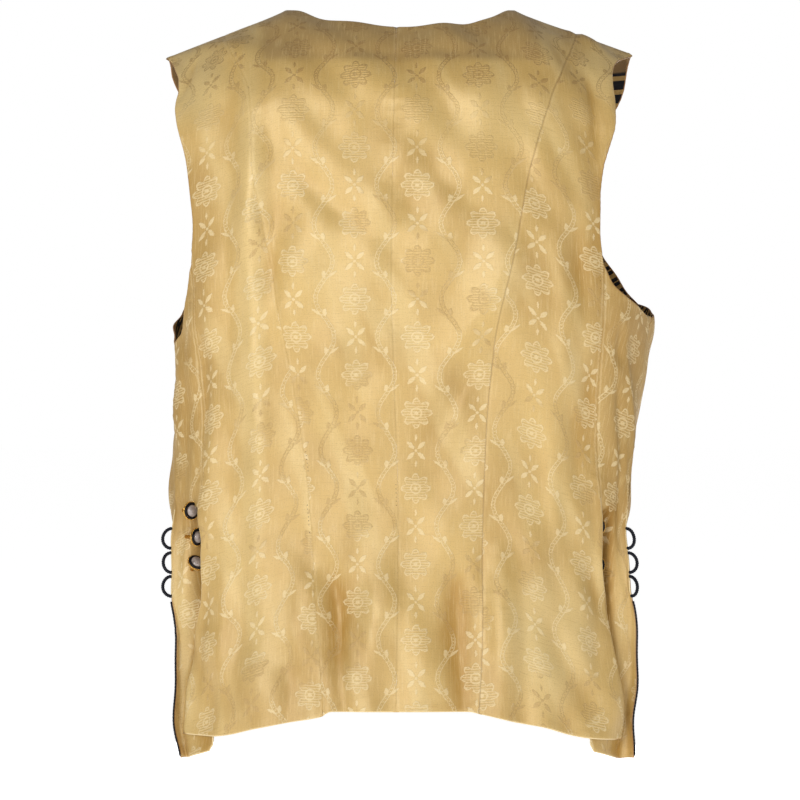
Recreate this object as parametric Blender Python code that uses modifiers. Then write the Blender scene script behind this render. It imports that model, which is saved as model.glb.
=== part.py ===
"""A silk waistcoat that keeps its worn shape with nobody in it.

Metres, +Z up. The wearer faces +Y, so the back is on the -Y side and the wearer's right is on the +X side.
The origin lies between the two neck points, where the shoulder seams meet the neck.

Each panel is cut flat and then laid on the form, as a maker would do it. The flat plane has two lengths:
"round" runs from the centre back (0) forwards to the centre front, negative on the left, and "down" runs
down the cloth from the shoulder seam. The form turns a place in that plane into a place in space.
"""

import math

import bmesh
import bpy
import numpy as np
from mathutils import Matrix, Vector, geometry
from mathutils.bvhtree import BVHTree

# Cloth
WALL = 0.0018
GAP = 0.0003
MESH_STEP = 0.019
TAIL_MESH_STEP = 0.010
EDGE_STEP = 0.016
SAME_PLACE = 0.002

# Form
SQUARENESS = 2.5
NECK_HALF_WIDTH = 0.102
SHOULDER_HALF_WIDTH = 0.2095
SHOULDER_SLOPE = {"left": 0.390, "right": 0.365}
CAP_HEIGHT = 0.090
CAP_DEPTH = 0.110
HALF_GIRTH = 0.530
TOP = 0.02
BOTTOM = -0.70

# Where the lines of the cut start and end
NECKLINE_END = 0.0985
CENTRE_SEAM_TOP = -0.0192
PRINCESS_SEAM_TOP = -0.0220
SHOULDER_TIP_HEIGHT = -0.0400
HEM = -0.6220
SLIT_TOP = -0.452
VENT_TOP = -0.4424
UNDERLAP_TOP = -0.4620
SEAM_BEHIND_WIDEST = 0.024
SLIT_TUCK = 0.009
TUCK_REACH = 0.090
FRONT_CORNER_RADIUS = 0.030
FRONT_CORNER_FULLNESS = 0.60

# Trims
EDGE_CORD_RADIUS = 0.0011
EDGE_CORD_TOP = -0.5290
EDGE_CORD_FOOT = -0.6660
LOOP_CORD_RADIUS = 0.0014
LOOP_HALF_HEIGHT = 0.0088
LOOP_REACH = 0.0075
LOOP_HALF_TURN = 82.0
LOOP_HEIGHTS = (-0.4730, -0.4945, -0.5155)
BUTTON_RADIUS = 0.0083
SHANK_RADIUS = 0.0020
SHANK_FOOT_RADIUS = 0.0017
SEAT_START = 0.005
BUTTON_STEPS = 14


def table(names, *rows):
    """A table whose columns are read by name."""
    return dict(zip(names.split(), np.array(rows, float).T))


# Half widths and depths of the garment at each height, as filled out on a general figure.
FORM = table(
    "height left right back front",
    (0.020, 0.2200, 0.2200, 0.098, 0.092),
    (-0.050, 0.2200, 0.2210, 0.106, 0.100),
    (-0.100, 0.2190, 0.2230, 0.112, 0.108),
    (-0.150, 0.2150, 0.2255, 0.117, 0.118),
    (-0.200, 0.2110, 0.2275, 0.118, 0.126),
    (-0.277, 0.2060, 0.2275, 0.113, 0.130),
    (-0.310, 0.2025, 0.2216, 0.109, 0.127),
    (-0.350, 0.2020, 0.2165, 0.104, 0.121),
    (-0.400, 0.2040, 0.2110, 0.099, 0.112),
    (-0.450, 0.2062, 0.2066, 0.098, 0.109),
    (-0.500, 0.2050, 0.2045, 0.101, 0.111),
    (-0.560, 0.1990, 0.2070, 0.107, 0.116),
    (-0.610, 0.1985, 0.2085, 0.112, 0.120),
    (-0.700, 0.1985, 0.2080, 0.118, 0.125),
)

# Across the back: the centre seam's place, then how far out each princess seam is.
CENTRE_SEAM = table(
    "height x",
    (0.0, -0.0025),
    (-0.10, -0.0055),
    (-0.25, -0.0075),
    (-0.33, -0.0052),
    (-0.46, -0.0015),
    (-0.66, -0.0040),
)
PRINCESS_SEAM = table(
    "height left right",
    (0.0, 0.1620, 0.1620),
    (-0.0213, 0.1580, 0.1580),
    (-0.0855, 0.1308, 0.1318),
    (-0.1460, 0.1265, 0.1140),
    (-0.2100, 0.1176, 0.1015),
    (-0.2900, 0.1030, 0.0844),
    (-0.4010, 0.0835, 0.0740),
    (-0.4550, 0.0783, 0.0727),
    (-0.5500, 0.0722, 0.0722),
    (-0.6600, 0.0650, 0.0665),
)

# The back's outer line: armhole, side-back seam from -0.229, free edge of the vent from -0.4424.
BACK_EDGE = table(
    "height left right",
    (-0.0400, 0.2110, 0.2093),
    (-0.0465, 0.2062, 0.1964),
    (-0.0550, 0.2020, 0.1893),
    (-0.0650, 0.1978, 0.1874),
    (-0.0760, 0.1972, 0.1878),
    (-0.0860, 0.1984, 0.1892),
    (-0.1030, 0.1962, 0.1893),
    (-0.1450, 0.1876, 0.1807),
    (-0.1730, 0.1840, 0.1787),
    (-0.2000, 0.1830, 0.1787),
    (-0.2290, 0.1830, 0.1806),
    (-0.3000, 0.1800, 0.1786),
    (-0.3700, 0.1760, 0.1762),
    (-0.4200, 0.1742, 0.1756),
    (-0.4424, 0.1764, 0.1764),
    (-0.4560, 0.1772, 0.1779),
    (-0.4740, 0.1758, 0.1790),
    (-0.4900, 0.1766, 0.1792),
    (-0.5080, 0.1765, 0.1814),
    (-0.5240, 0.1778, 0.1843),
    (-0.5420, 0.1800, 0.1862),
    (-0.5790, 0.1850, 0.1905),
    (-0.6150, 0.1890, 0.1955),
    (-0.6520, 0.1910, 0.1982),
)
SIDE_SEAM_TOP = -0.2290
BACK_CORNER = {"left": -0.6465, "right": -0.6509}

# The back's hem and neckline, from the left to the right.
BACK_HEM = table(
    "x height",
    (-0.1915, -0.6465),
    (-0.1680, -0.6462),
    (-0.1220, -0.6366),
    (-0.0960, -0.6310),
    (-0.0700, -0.6262),
    (-0.0600, -0.6215),
    (0.0600, -0.6215),
    (0.0700, -0.6236),
    (0.0957, -0.6300),
    (0.1247, -0.6360),
    (0.1658, -0.6473),
    (0.1985, -0.6512),
)
BACK_NECK = table(
    "x height",
    (-0.1020, -0.0006),
    (-0.0890, -0.0032),
    (-0.0630, -0.0128),
    (-0.0380, -0.0163),
    (0.0, -0.0190),
    (0.0275, -0.0194),
    (0.0524, -0.0163),
    (0.0776, -0.0102),
    (0.1020, -0.0006),
)

# Foot of the armhole, from the side-back seam round to the widest place under the arm.
UNDERARM = {
    "left": table(
        "x height",
        (0.1830, -0.2290),
        (0.1880, -0.2440),
        (0.1912, -0.2616),
        (0.1926, -0.2713),
        (0.1938, -0.2800),
        (0.1966, -0.2915),
        (0.2008, -0.2985),
    ),
    "right": table(
        "x height",
        (0.1806, -0.2290),
        (0.1828, -0.2350),
        (0.1880, -0.2480),
        (0.1976, -0.2575),
        (0.2120, -0.2668),
        (0.2240, -0.2755),
    ),
}
# The front's armhole, from under the arm up to the shoulder tip.
FRONT_ARMHOLE = {
    "left": table(
        "height x",
        (-0.2930, 0.2035),
        (-0.2870, 0.2044),
        (-0.2800, 0.2047),
        (-0.2685, 0.1996),
        (-0.2581, 0.1945),
        (-0.2400, 0.1850),
        (-0.2200, 0.1790),
        (-0.2000, 0.1750),
        (-0.1700, 0.1730),
        (-0.1300, 0.1790),
        (-0.1000, 0.1880),
        (-0.0850, 0.1945),
        (-0.0700, 0.2025),
        (-0.0611, 0.2065),
        (-0.0541, 0.2085),
        (-0.0400, 0.2093),
    ),
    "right": table(
        "height x",
        (-0.2720, 0.2240),
        (-0.2620, 0.2180),
        (-0.2495, 0.2092),
        (-0.2350, 0.2010),
        (-0.2100, 0.1866),
        (-0.1700, 0.1745),
        (-0.1300, 0.1800),
        (-0.1000, 0.1905),
        (-0.0700, 0.2030),
        (-0.0400, 0.2088),
    ),
}
# The front's V neck and opening edge, and its hem by the share of the way from the slit to the opening.
OPENING = table(
    "height x",
    (0.0, 0.1020),
    (-0.0600, 0.0890),
    (-0.1400, 0.0640),
    (-0.2200, 0.0350),
    (-0.2800, 0.0140),
    (-0.3200, 0.0090),
    (-0.5000, 0.0110),
    (-0.6600, 0.0150),
)
FRONT_HEM = table("share height", (0.0, -0.6540), (0.4, -0.6490), (0.8, -0.6400), (1.0, -0.6360))

# Tail of the side panel below the vent: where the underlap ends, and the outer edge's place.
TAIL_INNER_X = {"left": 0.1695, "right": 0.1690}
TAIL_FOOT_INNER = -0.6596
TAIL_FOOT_OUTER = -0.6680
CORNER_CUT = 0.006
TAIL_EDGE = table(
    "height left right",
    (-0.4520, 0.2025, 0.2028),
    (-0.4700, 0.2028, 0.2010),
    (-0.5150, 0.2026, 0.2017),
    (-0.5450, 0.1996, 0.2072),
    (-0.5800, 0.1990, 0.2105),
    (-0.6050, 0.1990, 0.2110),
    (-0.6400, 0.1985, 0.2092),
    (-0.6680, 0.1955, 0.2068),
)
TAIL_EDGE_Y = -0.046
# How deep the tail lies under the back, beside the vent's edge: deepest where the buttons sit.
TROUGH = table(
    "height depth",
    (-0.4050, 0.0),
    (-0.4424, 0.0024),
    (-0.4540, 0.0110),
    (-0.4640, 0.0150),
    (-0.5060, 0.0150),
    (-0.5450, 0.0090),
    (-0.6000, 0.0050),
    (-0.7000, 0.0045),
)
TROUGH_FLOOR = 0.005
TROUGH_REACH = 0.023
FLARE_START = 0.008

# Folds: a soft ridge (raised above 0) or trough along a line, with places across (x) and heights.
FOLDS = {
    "back": table(
        "top_x top bottom_x bottom half_width raised",
        (-0.064, -0.455, -0.043, -0.670, 0.0100, -0.0060),
        (-0.022, -0.480, -0.026, -0.680, 0.0110, 0.0040),
        (0.046, -0.440, 0.056, -0.680, 0.0150, -0.0060),
        (0.088, -0.450, 0.090, -0.680, 0.0110, 0.0045),
        (-0.123, -0.030, -0.122, -0.370, 0.0100, 0.0035),
        (-0.140, -0.470, -0.150, -0.690, 0.0130, -0.0030),
        (0.166, -0.050, 0.164, -0.440, 0.0130, -0.0040),
        (0.140, -0.440, 0.150, -0.690, 0.0140, -0.0030),
    ),
    "front": table(
        "top_x top bottom_x bottom half_width raised",
        (0.150, -0.300, 0.128, -0.690, 0.0150, -0.0050),
        (0.086, -0.330, 0.074, -0.690, 0.0140, -0.0045),
        (-0.120, -0.280, -0.104, -0.690, 0.0160, -0.0055),
        (-0.058, -0.400, -0.050, -0.690, 0.0130, 0.0040),
        (0.142, -0.050, 0.100, -0.260, 0.0130, 0.0040),
        (-0.148, -0.060, -0.116, -0.280, 0.0130, 0.0045),
    ),
}

# Buttons: where the shank stands, how far the face is turned from straight back to the right and
# tilted upwards (degrees), and the shank's length.
BUTTONS = {
    "left": table(
        "x height turn tilt shank",
        (-0.1944, -0.4490, 36.0, 0.0, 0.0100),
        (-0.1993, -0.4713, 53.0, 0.0, 0.0118),
        (-0.1884, -0.5020, 34.0, 40.0, 0.0088),
    ),
    "right": table(
        "x height turn tilt shank",
        (0.1806, -0.4620, 14.0, 0.0, 0.0058),
        (0.1801, -0.4758, 22.0, 0.0, 0.0030),
        (0.1842, -0.4952, 16.0, -8.0, 0.0034),
    ),
}

# Profiles of a button's cup and of its pearl: share of the radius, height above the shank's end.
MOUNT = table(
    "radius height",
    (0.0, 0.0022),
    (0.66, 0.0022),
    (0.72, 0.0030),
    (0.88, 0.0028),
    (1.0, 0.0016),
    (0.94, 0.0004),
)
PEARL = table(
    "radius height",
    (0.0, 0.0058),
    (0.30, 0.0054),
    (0.50, 0.0043),
    (0.62, 0.0025),
    (0.0, 0.0025),
)

COLOURS = {
    "silk": ((0.70, 0.48, 0.18), 0.38, 0.0),
    "dark": ((0.006, 0.007, 0.016), 0.60, 0.0),
    "gilt": ((0.86, 0.56, 0.16), 0.22, 1.0),
    "pearl": ((0.62, 0.52, 0.46), 0.18, 0.0),
}
SIGN = {"left": -1, "right": 1}


def curve(columns, along, value, at):
    """A column's values as a smooth line through a table's rows, which never overshoots them."""
    order = np.argsort(columns[along])
    x, y = columns[along][order], columns[value][order]
    at = np.clip(np.asarray(at, float), x[0], x[-1])
    run = np.diff(x)
    slope = np.diff(y) / run
    tangent = np.zeros_like(x)
    tangent[0], tangent[-1] = slope[0], slope[-1]
    before, after = slope[:-1], slope[1:]
    same = before * after > 0
    tangent[1:-1][same] = 2 * before[same] * after[same] / (before + after)[same]
    i = np.clip(np.searchsorted(x, at) - 1, 0, len(run) - 1)
    t = (at - x[i]) / run[i]
    left = y[i] * (1 + 2 * t) * (1 - t) ** 2 + tangent[i] * run[i] * t * (1 - t) ** 2
    right = y[i + 1] * t * t * (3 - 2 * t) + tangent[i + 1] * run[i] * t * t * (t - 1)
    return left + right


def ease(x, start, end):
    """0 before start, 1 past end, smooth between."""
    t = np.clip((np.asarray(x, float) - start) / (end - start), 0, 1)
    return t * t * (3 - 2 * t)


class Form:
    """The filled-out shape that the cloth lies on, as half sections at many heights."""

    SAMPLES = 241
    SECTIONS = 145
    FINE = 1441

    def __init__(self):
        self.heights = np.linspace(TOP, BOTTOM, self.SECTIONS)
        self.x, self.y = {}, {}
        for side in SIGN:
            halves = [self.half_section(side, height) for height in self.heights]
            self.x[side] = np.array([h[0] for h in halves])
            self.y[side] = np.array([h[1] for h in halves])

    def half_section(self, side, height):
        width, back, front = (float(curve(FORM, "height", c, height)) for c in (side, "back", "front"))
        angle = np.linspace(0, math.pi, self.FINE)
        x = width * np.sin(angle).clip(0) ** (2 / SQUARENESS)
        depth = np.where(angle < math.pi / 2, -back, front)
        y = depth * np.abs(np.cos(angle)) ** (2 / SQUARENESS)
        length = np.concatenate([[0], np.cumsum(np.hypot(np.diff(x), np.diff(y)))])
        even = np.linspace(0, length[-1], self.SAMPLES)
        return np.interp(even, length, x), np.interp(even, length, y)

    def at(self, around, height):
        """x and y of the section, where around runs from 0 at the back to -1 or 1 at the front."""
        around, height = np.broadcast_arrays(np.asarray(around, float), np.asarray(height, float))
        row = np.clip((TOP - height) / (TOP - BOTTOM), 0, 0.99999) * (self.SECTIONS - 1)
        column = np.clip(np.abs(around), 0, 0.99999) * (self.SAMPLES - 1)
        r, c = row.astype(int), column.astype(int)
        row_share, column_share = row - r, column - c
        found = {}
        for side in SIGN:
            for name, grid in (("x", self.x[side]), ("y", self.y[side])):
                upper = grid[r, c] * (1 - column_share) + grid[r, c + 1] * column_share
                lower = grid[r + 1, c] * (1 - column_share) + grid[r + 1, c + 1] * column_share
                found[side, name] = upper * (1 - row_share) + lower * row_share
        x = np.where(around < 0, -found["left", "x"], found["right", "x"])
        y = np.where(around < 0, found["left", "y"], found["right", "y"])
        return x, y

    def row(self, side, height):
        i = int(round((TOP - height) / (TOP - BOTTOM) * (self.SECTIONS - 1)))
        return self.x[side][min(max(i, 0), self.SECTIONS - 1)]

    def widest(self, side, height):
        """How far round the widest place is, from 0 at the back to 1 at the front."""
        return np.argmax(self.row(side, height)) / (self.SAMPLES - 1)

    def around(self, x, height, face):
        """How far round the place is that lies at x on the back or on the front."""
        side = "left" if x < 0 else "right"
        row = self.row(side, height)
        widest = int(np.argmax(row))
        share = np.linspace(0, 1, self.SAMPLES)
        if face == "back":
            found = np.interp(abs(x), row[: widest + 1], share[: widest + 1])
        else:
            found = np.interp(abs(x), row[widest:][::-1], share[widest:][::-1])
        return SIGN[side] * float(found)


form = Form()
CAP_LENGTH = math.pi / 2 * math.sqrt((CAP_HEIGHT**2 + CAP_DEPTH**2) / 2)
TOP_ROW = {side: form.row(side, 0.0) for side in SIGN}


def ridge(around):
    """Height of the shoulder line above a place round the form: level at the neck, then sloping out."""
    around = np.asarray(around, float)
    share = np.linspace(0, 1, Form.SAMPLES)
    left = np.interp(np.abs(around), share, TOP_ROW["left"])
    right = np.interp(np.abs(around), share, TOP_ROW["right"])
    x = np.where(around < 0, left, right)
    slope = np.where(around < 0, SHOULDER_SLOPE["left"], SHOULDER_SLOPE["right"])
    return -slope * (np.clip(x, NECK_HALF_WIDTH, SHOULDER_HALF_WIDTH) - NECK_HALF_WIDTH)


def drop(down):
    """How far below the shoulder line a length down the cloth reaches."""
    down = np.asarray(down, float)
    turn = np.clip(down / CAP_LENGTH, 0, 1) * math.pi / 2
    return CAP_HEIGHT * (1 - np.cos(turn)) + np.clip(down - CAP_LENGTH, 0, None)


def down_at(fall):
    """The length down the cloth that reaches so far below the shoulder line."""
    if fall >= CAP_HEIGHT:
        return CAP_LENGTH + fall - CAP_HEIGHT
    return math.acos(1 - max(fall, 0) / CAP_HEIGHT) / (math.pi / 2) * CAP_LENGTH


def flat(x, height, face):
    """The place in the cutting plane of a point that is seen at x on the back or the front."""
    around = form.around(x, height, face)
    for _ in range(2):
        down = down_at(float(ridge(around)) - height)
        around = form.around(x, float(ridge(around) - drop(down)), face)
    return np.array([around * HALF_GIRTH, down_at(float(ridge(around)) - height)])


def flat_round(around, height):
    """The place in the cutting plane of a point so far round the form."""
    return np.array([around * HALF_GIRTH, down_at(float(ridge(around)) - height)])


def smooth_form(round_, down):
    """The place in space of a place in the cutting plane, with no folds."""
    around = round_ / HALF_GIRTH
    height = ridge(around) - drop(down)
    x, y = form.at(around, height)
    y = y * np.sin(np.clip(down / CAP_LENGTH, 0, 1) * math.pi / 2)
    return np.stack([x, y, height], axis=-1)


def normals(surface, round_, down):
    """Directions straight off a surface at places in its cutting plane."""
    step = 0.0015
    low = np.clip(down - step, 0.0, None)
    across = surface(round_ + step, down) - surface(round_ - step, down)
    along = surface(round_, down + step) - surface(round_, low)
    out = np.cross(along, across)
    return out / np.linalg.norm(out, axis=-1, keepdims=True)


FOLD_LINES = []
for face_name, folds in FOLDS.items():
    for n in range(len(folds["top"])):
        fold = {name: folds[name][n] for name in folds}
        start = flat(fold["top_x"], fold["top"], face_name)[0]
        end = flat(fold["bottom_x"], fold["bottom"], face_name)[0]
        FOLD_LINES.append((start, end, fold))


def fold_rise(round_, height):
    """How far the cloth stands out from the form in its folds."""
    rise = np.zeros_like(round_)
    for start, end, fold in FOLD_LINES:
        share = np.clip((fold["top"] - height) / (fold["top"] - fold["bottom"]), 0, 1)
        off = (round_ - start - (end - start) * share) / fold["half_width"]
        length = fold["top"] - fold["bottom"]
        ends = ease(height, fold["bottom"] - 0.001, fold["bottom"] + 0.3 * length)
        ends = ends if fold["bottom"] > -0.6 else 1.0
        begins = 1 - ease(height, fold["top"] - 0.3 * length, fold["top"])
        rise += fold["raised"] * np.exp(-(off**2)) * begins * ends
    return rise


def back_surface(round_, down):
    base = smooth_form(round_, down)
    lift = fold_rise(round_, base[..., 2])
    return base + normals(smooth_form, round_, down) * lift[..., None]


def slit_round(side, height):
    """Where the side-front seam and the slit below it run: just behind the widest place."""
    return form.widest(side, height) * HALF_GIRTH - SEAM_BEHIND_WIDEST


def front_surface(side):
    """The front, whose rear edge is tucked in behind the tail below the top of the slit."""

    def surface(round_, down):
        base = smooth_form(round_, down)
        height = base[..., 2]
        from_slit = np.abs(round_) - slit_round(side, -0.56)
        tuck = SLIT_TUCK * (1 - ease(height, SLIT_TOP - 0.05, SLIT_TOP + 0.015))
        tuck = tuck * (1 - ease(from_slit, 0.010, TUCK_REACH))
        lift = fold_rise(round_, height) - tuck
        return base + normals(smooth_form, round_, down) * lift[..., None]

    return surface


def side_surface(side):
    """The panel under the arm, with its tail turned out flat and its underlap under the back."""
    sign = SIGN[side]
    heights = np.linspace(-0.38, -0.70, 33)
    vent = [flat(sign * float(curve(BACK_EDGE, "height", side, h)), h, "back")[0] * sign for h in heights]
    outer = [slit_round(side, h) for h in heights]
    edge = []
    for h, r in zip(heights, outer):
        point = smooth_form(np.array(sign * r), np.array(flat_round(sign * r / HALF_GIRTH, h)[1]))
        target = sign * float(curve(TAIL_EDGE, "height", side, h))
        edge.append((target - point[0], TAIL_EDGE_Y - point[1]))
    edge = np.array(edge)

    def surface(round_, down):
        base = smooth_form(round_, down)
        height = base[..., 2]
        along = -height
        vent_here = np.interp(along, -heights, vent)
        outer_here = np.interp(along, -heights, outer)
        place = np.abs(round_)
        trough = curve(TROUGH, "height", "depth", height)
        trough = trough * (1 - ease(place - vent_here, TROUGH_FLOOR, TROUGH_REACH))
        start = vent_here + FLARE_START
        share = np.clip((place - start) / (outer_here - start), 0, 1.2)
        turned = share**2 * (1 - ease(height, SLIT_TOP - 0.004, SLIT_TOP + 0.090))
        lift = fold_rise(round_, height) - trough
        out = base + normals(smooth_form, round_, down) * lift[..., None]
        out[..., 0] += turned * np.interp(along, -heights, edge[:, 0])
        out[..., 1] += turned * np.interp(along, -heights, edge[:, 1])
        return out

    return surface


def spaced(start, end, step=EDGE_STEP):
    """Places from start to end, a step or less apart."""
    count = max(2, math.ceil(float(np.linalg.norm(np.subtract(end, start))) / step) + 1)
    return np.linspace(start, end, count)


def levels(top, bottom):
    """Heights from top to bottom that every panel shares, so that neighbours' seams match."""
    shared = [-EDGE_STEP * n for n in range(1, 60)] + [SIDE_SEAM_TOP, VENT_TOP]
    between = sorted((h for h in shared if bottom + 0.003 < h < top - 0.003), reverse=True)
    return [top, *between, bottom]


def seam(side, columns, value, top, bottom, shift):
    """A seam of the back from top to bottom, moved out by shift to leave half the gap."""
    line = []
    for height in levels(top, bottom):
        x = float(curve(columns, "height", value, height))
        x = x + shift if value == "x" else SIGN[side] * (x + shift)
        line.append(flat(x, height, "back"))
    return line


def across_back(columns, start, end):
    """A line across the back from start to end, with x and height from a table."""
    line = []
    for x in spaced(start, end):
        line.append(flat(x, float(curve(columns, "x", "height", x)), "back"))
    return line


def shoulder(start, end, face):
    """The shoulder seam between two places across, half a gap below the shoulder line."""
    line = []
    for x in spaced(start, end):
        slope = SHOULDER_SLOPE["left"] if x < 0 else SHOULDER_SLOPE["right"]
        point = flat(x, -slope * (abs(x) - NECK_HALF_WIDTH), face)
        line.append(np.array([point[0], GAP]))
    return line


def joined(*lines):
    """One closed outline from lines that follow each other, without doubled corners."""
    points = []
    for line in lines:
        for point in line:
            if not points or np.linalg.norm(point - points[-1]) > SAME_PLACE:
                points.append(np.array(point))
    if np.linalg.norm(points[0] - points[-1]) < SAME_PLACE:
        points.pop()
    return np.array(points)


def hem_height(x):
    return float(curve(BACK_HEM, "x", "height", x))


def seam_x(columns, value, height):
    return float(curve(columns, "height", value, height))


def back_centre_outline(side):
    sign = SIGN[side]
    half = GAP / 2
    neck_x = seam_x(CENTRE_SEAM, "x", CENTRE_SEAM_TOP) + sign * half
    foot_x = seam_x(CENTRE_SEAM, "x", HEM) + sign * half
    princess_foot = sign * (seam_x(PRINCESS_SEAM, side, HEM) - half)
    princess_top = seam_x(PRINCESS_SEAM, side, PRINCESS_SEAM_TOP) - half
    return joined(
        seam(side, CENTRE_SEAM, "x", CENTRE_SEAM_TOP, hem_height(foot_x), sign * half),
        across_back(BACK_HEM, foot_x, princess_foot),
        seam(side, PRINCESS_SEAM, side, PRINCESS_SEAM_TOP, hem_height(princess_foot), -half)[::-1],
        shoulder(sign * princess_top, sign * NECK_HALF_WIDTH, "back"),
        across_back(BACK_NECK, sign * NECKLINE_END, neck_x),
    )


def back_side_outline(side):
    sign = SIGN[side]
    half = GAP / 2
    corner = BACK_CORNER[side]
    corner_x = sign * seam_x(BACK_EDGE, side, corner)
    princess_foot = sign * (seam_x(PRINCESS_SEAM, side, HEM) + half)
    princess_top = seam_x(PRINCESS_SEAM, side, PRINCESS_SEAM_TOP) + half
    return joined(
        seam(side, PRINCESS_SEAM, side, PRINCESS_SEAM_TOP, hem_height(princess_foot), half),
        across_back(BACK_HEM, princess_foot, corner_x),
        seam(side, BACK_EDGE, side, SHOULDER_TIP_HEIGHT, corner, -half)[::-1],
        shoulder(sign * SHOULDER_HALF_WIDTH, sign * princess_top, "back"),
    )


def side_outline(side):
    sign = SIGN[side]
    half = GAP / 2
    inner_x = sign * TAIL_INNER_X[side]
    outer = []
    for height in levels(UNDERARM[side]["height"][-1], TAIL_FOOT_OUTER)[::-1]:
        outer.append(flat_round(sign * (slit_round(side, height) - half) / HALF_GIRTH, height))
    underlap = []
    for height in levels(UNDERLAP_TOP, TAIL_FOOT_INNER + CORNER_CUT):
        underlap.append(flat(inner_x, height, "back"))
    foot = flat(inner_x + sign * CORNER_CUT / 2, TAIL_FOOT_INNER, "back")
    hole = []
    for height in np.linspace(UNDERARM[side]["height"][-1], UNDERARM[side]["height"][0], 9):
        hole.append(flat(sign * (seam_x(UNDERARM[side], "x", height) + half), height, "back"))
    return joined(
        seam(side, BACK_EDGE, side, SIDE_SEAM_TOP - SAME_PLACE, VENT_TOP, half),
        underlap,
        spaced(foot, outer[0]),
        outer,
        hole[1:],
    )


def front_outline(side):
    sign = SIGN[side]
    half = GAP / 2
    hole = []
    arm = FRONT_ARMHOLE[side]
    for height in levels(SHOULDER_TIP_HEIGHT - SAME_PLACE, arm["height"][0]):
        hole.append(flat(sign * seam_x(arm, "x", height), height, "front"))
    slit = []
    for height in levels(UNDERARM[side]["height"][-1] - SAME_PLACE, FRONT_HEM["height"][0]):
        slit.append(flat_round(sign * (slit_round(side, height) + half) / HALF_GIRTH, height))
    foot = FRONT_HEM["height"][-1]
    corner = flat(sign * seam_x(OPENING, "x", foot), foot, "front")
    hem = []
    reach = np.abs(corner[0]) - np.abs(slit[-1][0])
    for share in spaced(0, 1 - FRONT_CORNER_RADIUS / reach, EDGE_STEP / reach):
        around = sign * (abs(slit[-1][0]) + share * reach) / HALF_GIRTH
        hem.append(flat_round(around, float(curve(FRONT_HEM, "share", "height", share))))
    edge = []
    for height in levels(-SAME_PLACE * 2, foot + FRONT_CORNER_RADIUS)[::-1]:
        edge.append(flat(sign * seam_x(OPENING, "x", height), height, "front"))
    turn = [line_end + (corner - line_end) * FRONT_CORNER_FULLNESS for line_end in (hem[-1], edge[0])]
    return joined(
        hole,
        slit,
        hem,
        turn,
        edge,
        shoulder(sign * NECK_HALF_WIDTH, sign * SHOULDER_HALF_WIDTH, "front"),
    )


def inside(points, outline):
    """Which points lie inside the outline, and how far each is from its line."""
    start, end = outline, np.roll(outline, -1, axis=0)
    x, y = points[:, :1], points[:, 1:]
    crosses = (start[:, 1] > y) != (end[:, 1] > y)
    rise = np.where(np.abs(end[:, 1] - start[:, 1]) < 1e-12, 1e-12, end[:, 1] - start[:, 1])
    at = start[:, 0] + (y - start[:, 1]) / rise * (end[:, 0] - start[:, 0])
    within = (crosses & (x < at)).sum(axis=1) % 2 == 1
    step = end - start
    offset = points[:, None, :] - start[None, :, :]
    share = np.clip((offset * step).sum(-1) / np.maximum((step * step).sum(-1), 1e-12), 0, 1)
    far = np.linalg.norm(offset - share[..., None] * step, axis=-1).min(axis=1)
    return within, far


def cut_cloth(outline, step):
    """Points and triangles of a flat piece with this outline."""
    low, high = outline.min(axis=0), outline.max(axis=0)
    rows = np.arange(low[1] + step / 2, high[1], step * math.sqrt(3) / 2)
    grid = []
    for number, y in enumerate(rows):
        shift = step / 2 * (number % 2)
        grid += [(x, y) for x in np.arange(low[0] + shift, high[0], step)]
    grid = np.array(grid)
    within, far = inside(grid, outline)
    grid = grid[within & (far > 0.55 * step)]
    points = [Vector(p) for p in outline] + [Vector(p) for p in grid]
    edges = [(i, (i + 1) % len(outline)) for i in range(len(outline))]
    found = geometry.delaunay_2d_cdt(points, edges, [], 1, 1e-7)
    return np.array([tuple(v) for v in found[0]]), [tuple(f) for f in found[2]]


def panel(name, outline, surface, step=MESH_STEP):
    """A wall of cloth: outer and inner faces that follow the form, closed round the cut edge."""
    points, triangles = cut_cloth(outline, step)
    round_, down = points[:, 0], points[:, 1]
    outer = surface(round_, down)
    inner = outer - normals(surface, round_, down) * WALL
    mesh = bmesh.new()
    verts = [mesh.verts.new(p) for p in np.concatenate([outer, inner])]
    count = len(points)
    border = {}
    for a, b, c in triangles:
        mesh.faces.new((verts[a], verts[b], verts[c]))
        mesh.faces.new((verts[c + count], verts[b + count], verts[a + count]))
        for pair in ((a, b), (b, c), (c, a)):
            if pair[::-1] in border:
                del border[pair[::-1]]
            else:
                border[pair] = True
    for a, b in border:
        mesh.faces.new((verts[b], verts[a], verts[a + count], verts[b + count]))
    if mesh.calc_volume(signed=True) < 0:
        bmesh.ops.reverse_faces(mesh, faces=mesh.faces)
    bmesh.ops.triangulate(mesh, faces=[f for f in mesh.faces if len(f.verts) > 3])
    return add(name, mesh, "silk")


def material(colour):
    if colour in bpy.data.materials:
        return bpy.data.materials[colour]
    made = bpy.data.materials.new(colour)
    made.use_nodes = True
    base, roughness, metallic = COLOURS[colour]
    shader = made.node_tree.nodes["Principled BSDF"]
    shader.inputs["Base Color"].default_value = (*base, 1)
    shader.inputs["Roughness"].default_value = roughness
    shader.inputs["Metallic"].default_value = metallic
    made.diffuse_color = (*base, 1)
    return made


def add(name, mesh, colour):
    data = bpy.data.meshes.new(name)
    mesh.to_mesh(data)
    mesh.free()
    piece = bpy.data.objects.new(name, data)
    piece.data.materials.append(material(colour))
    parts.objects.link(piece)
    return piece


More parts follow.
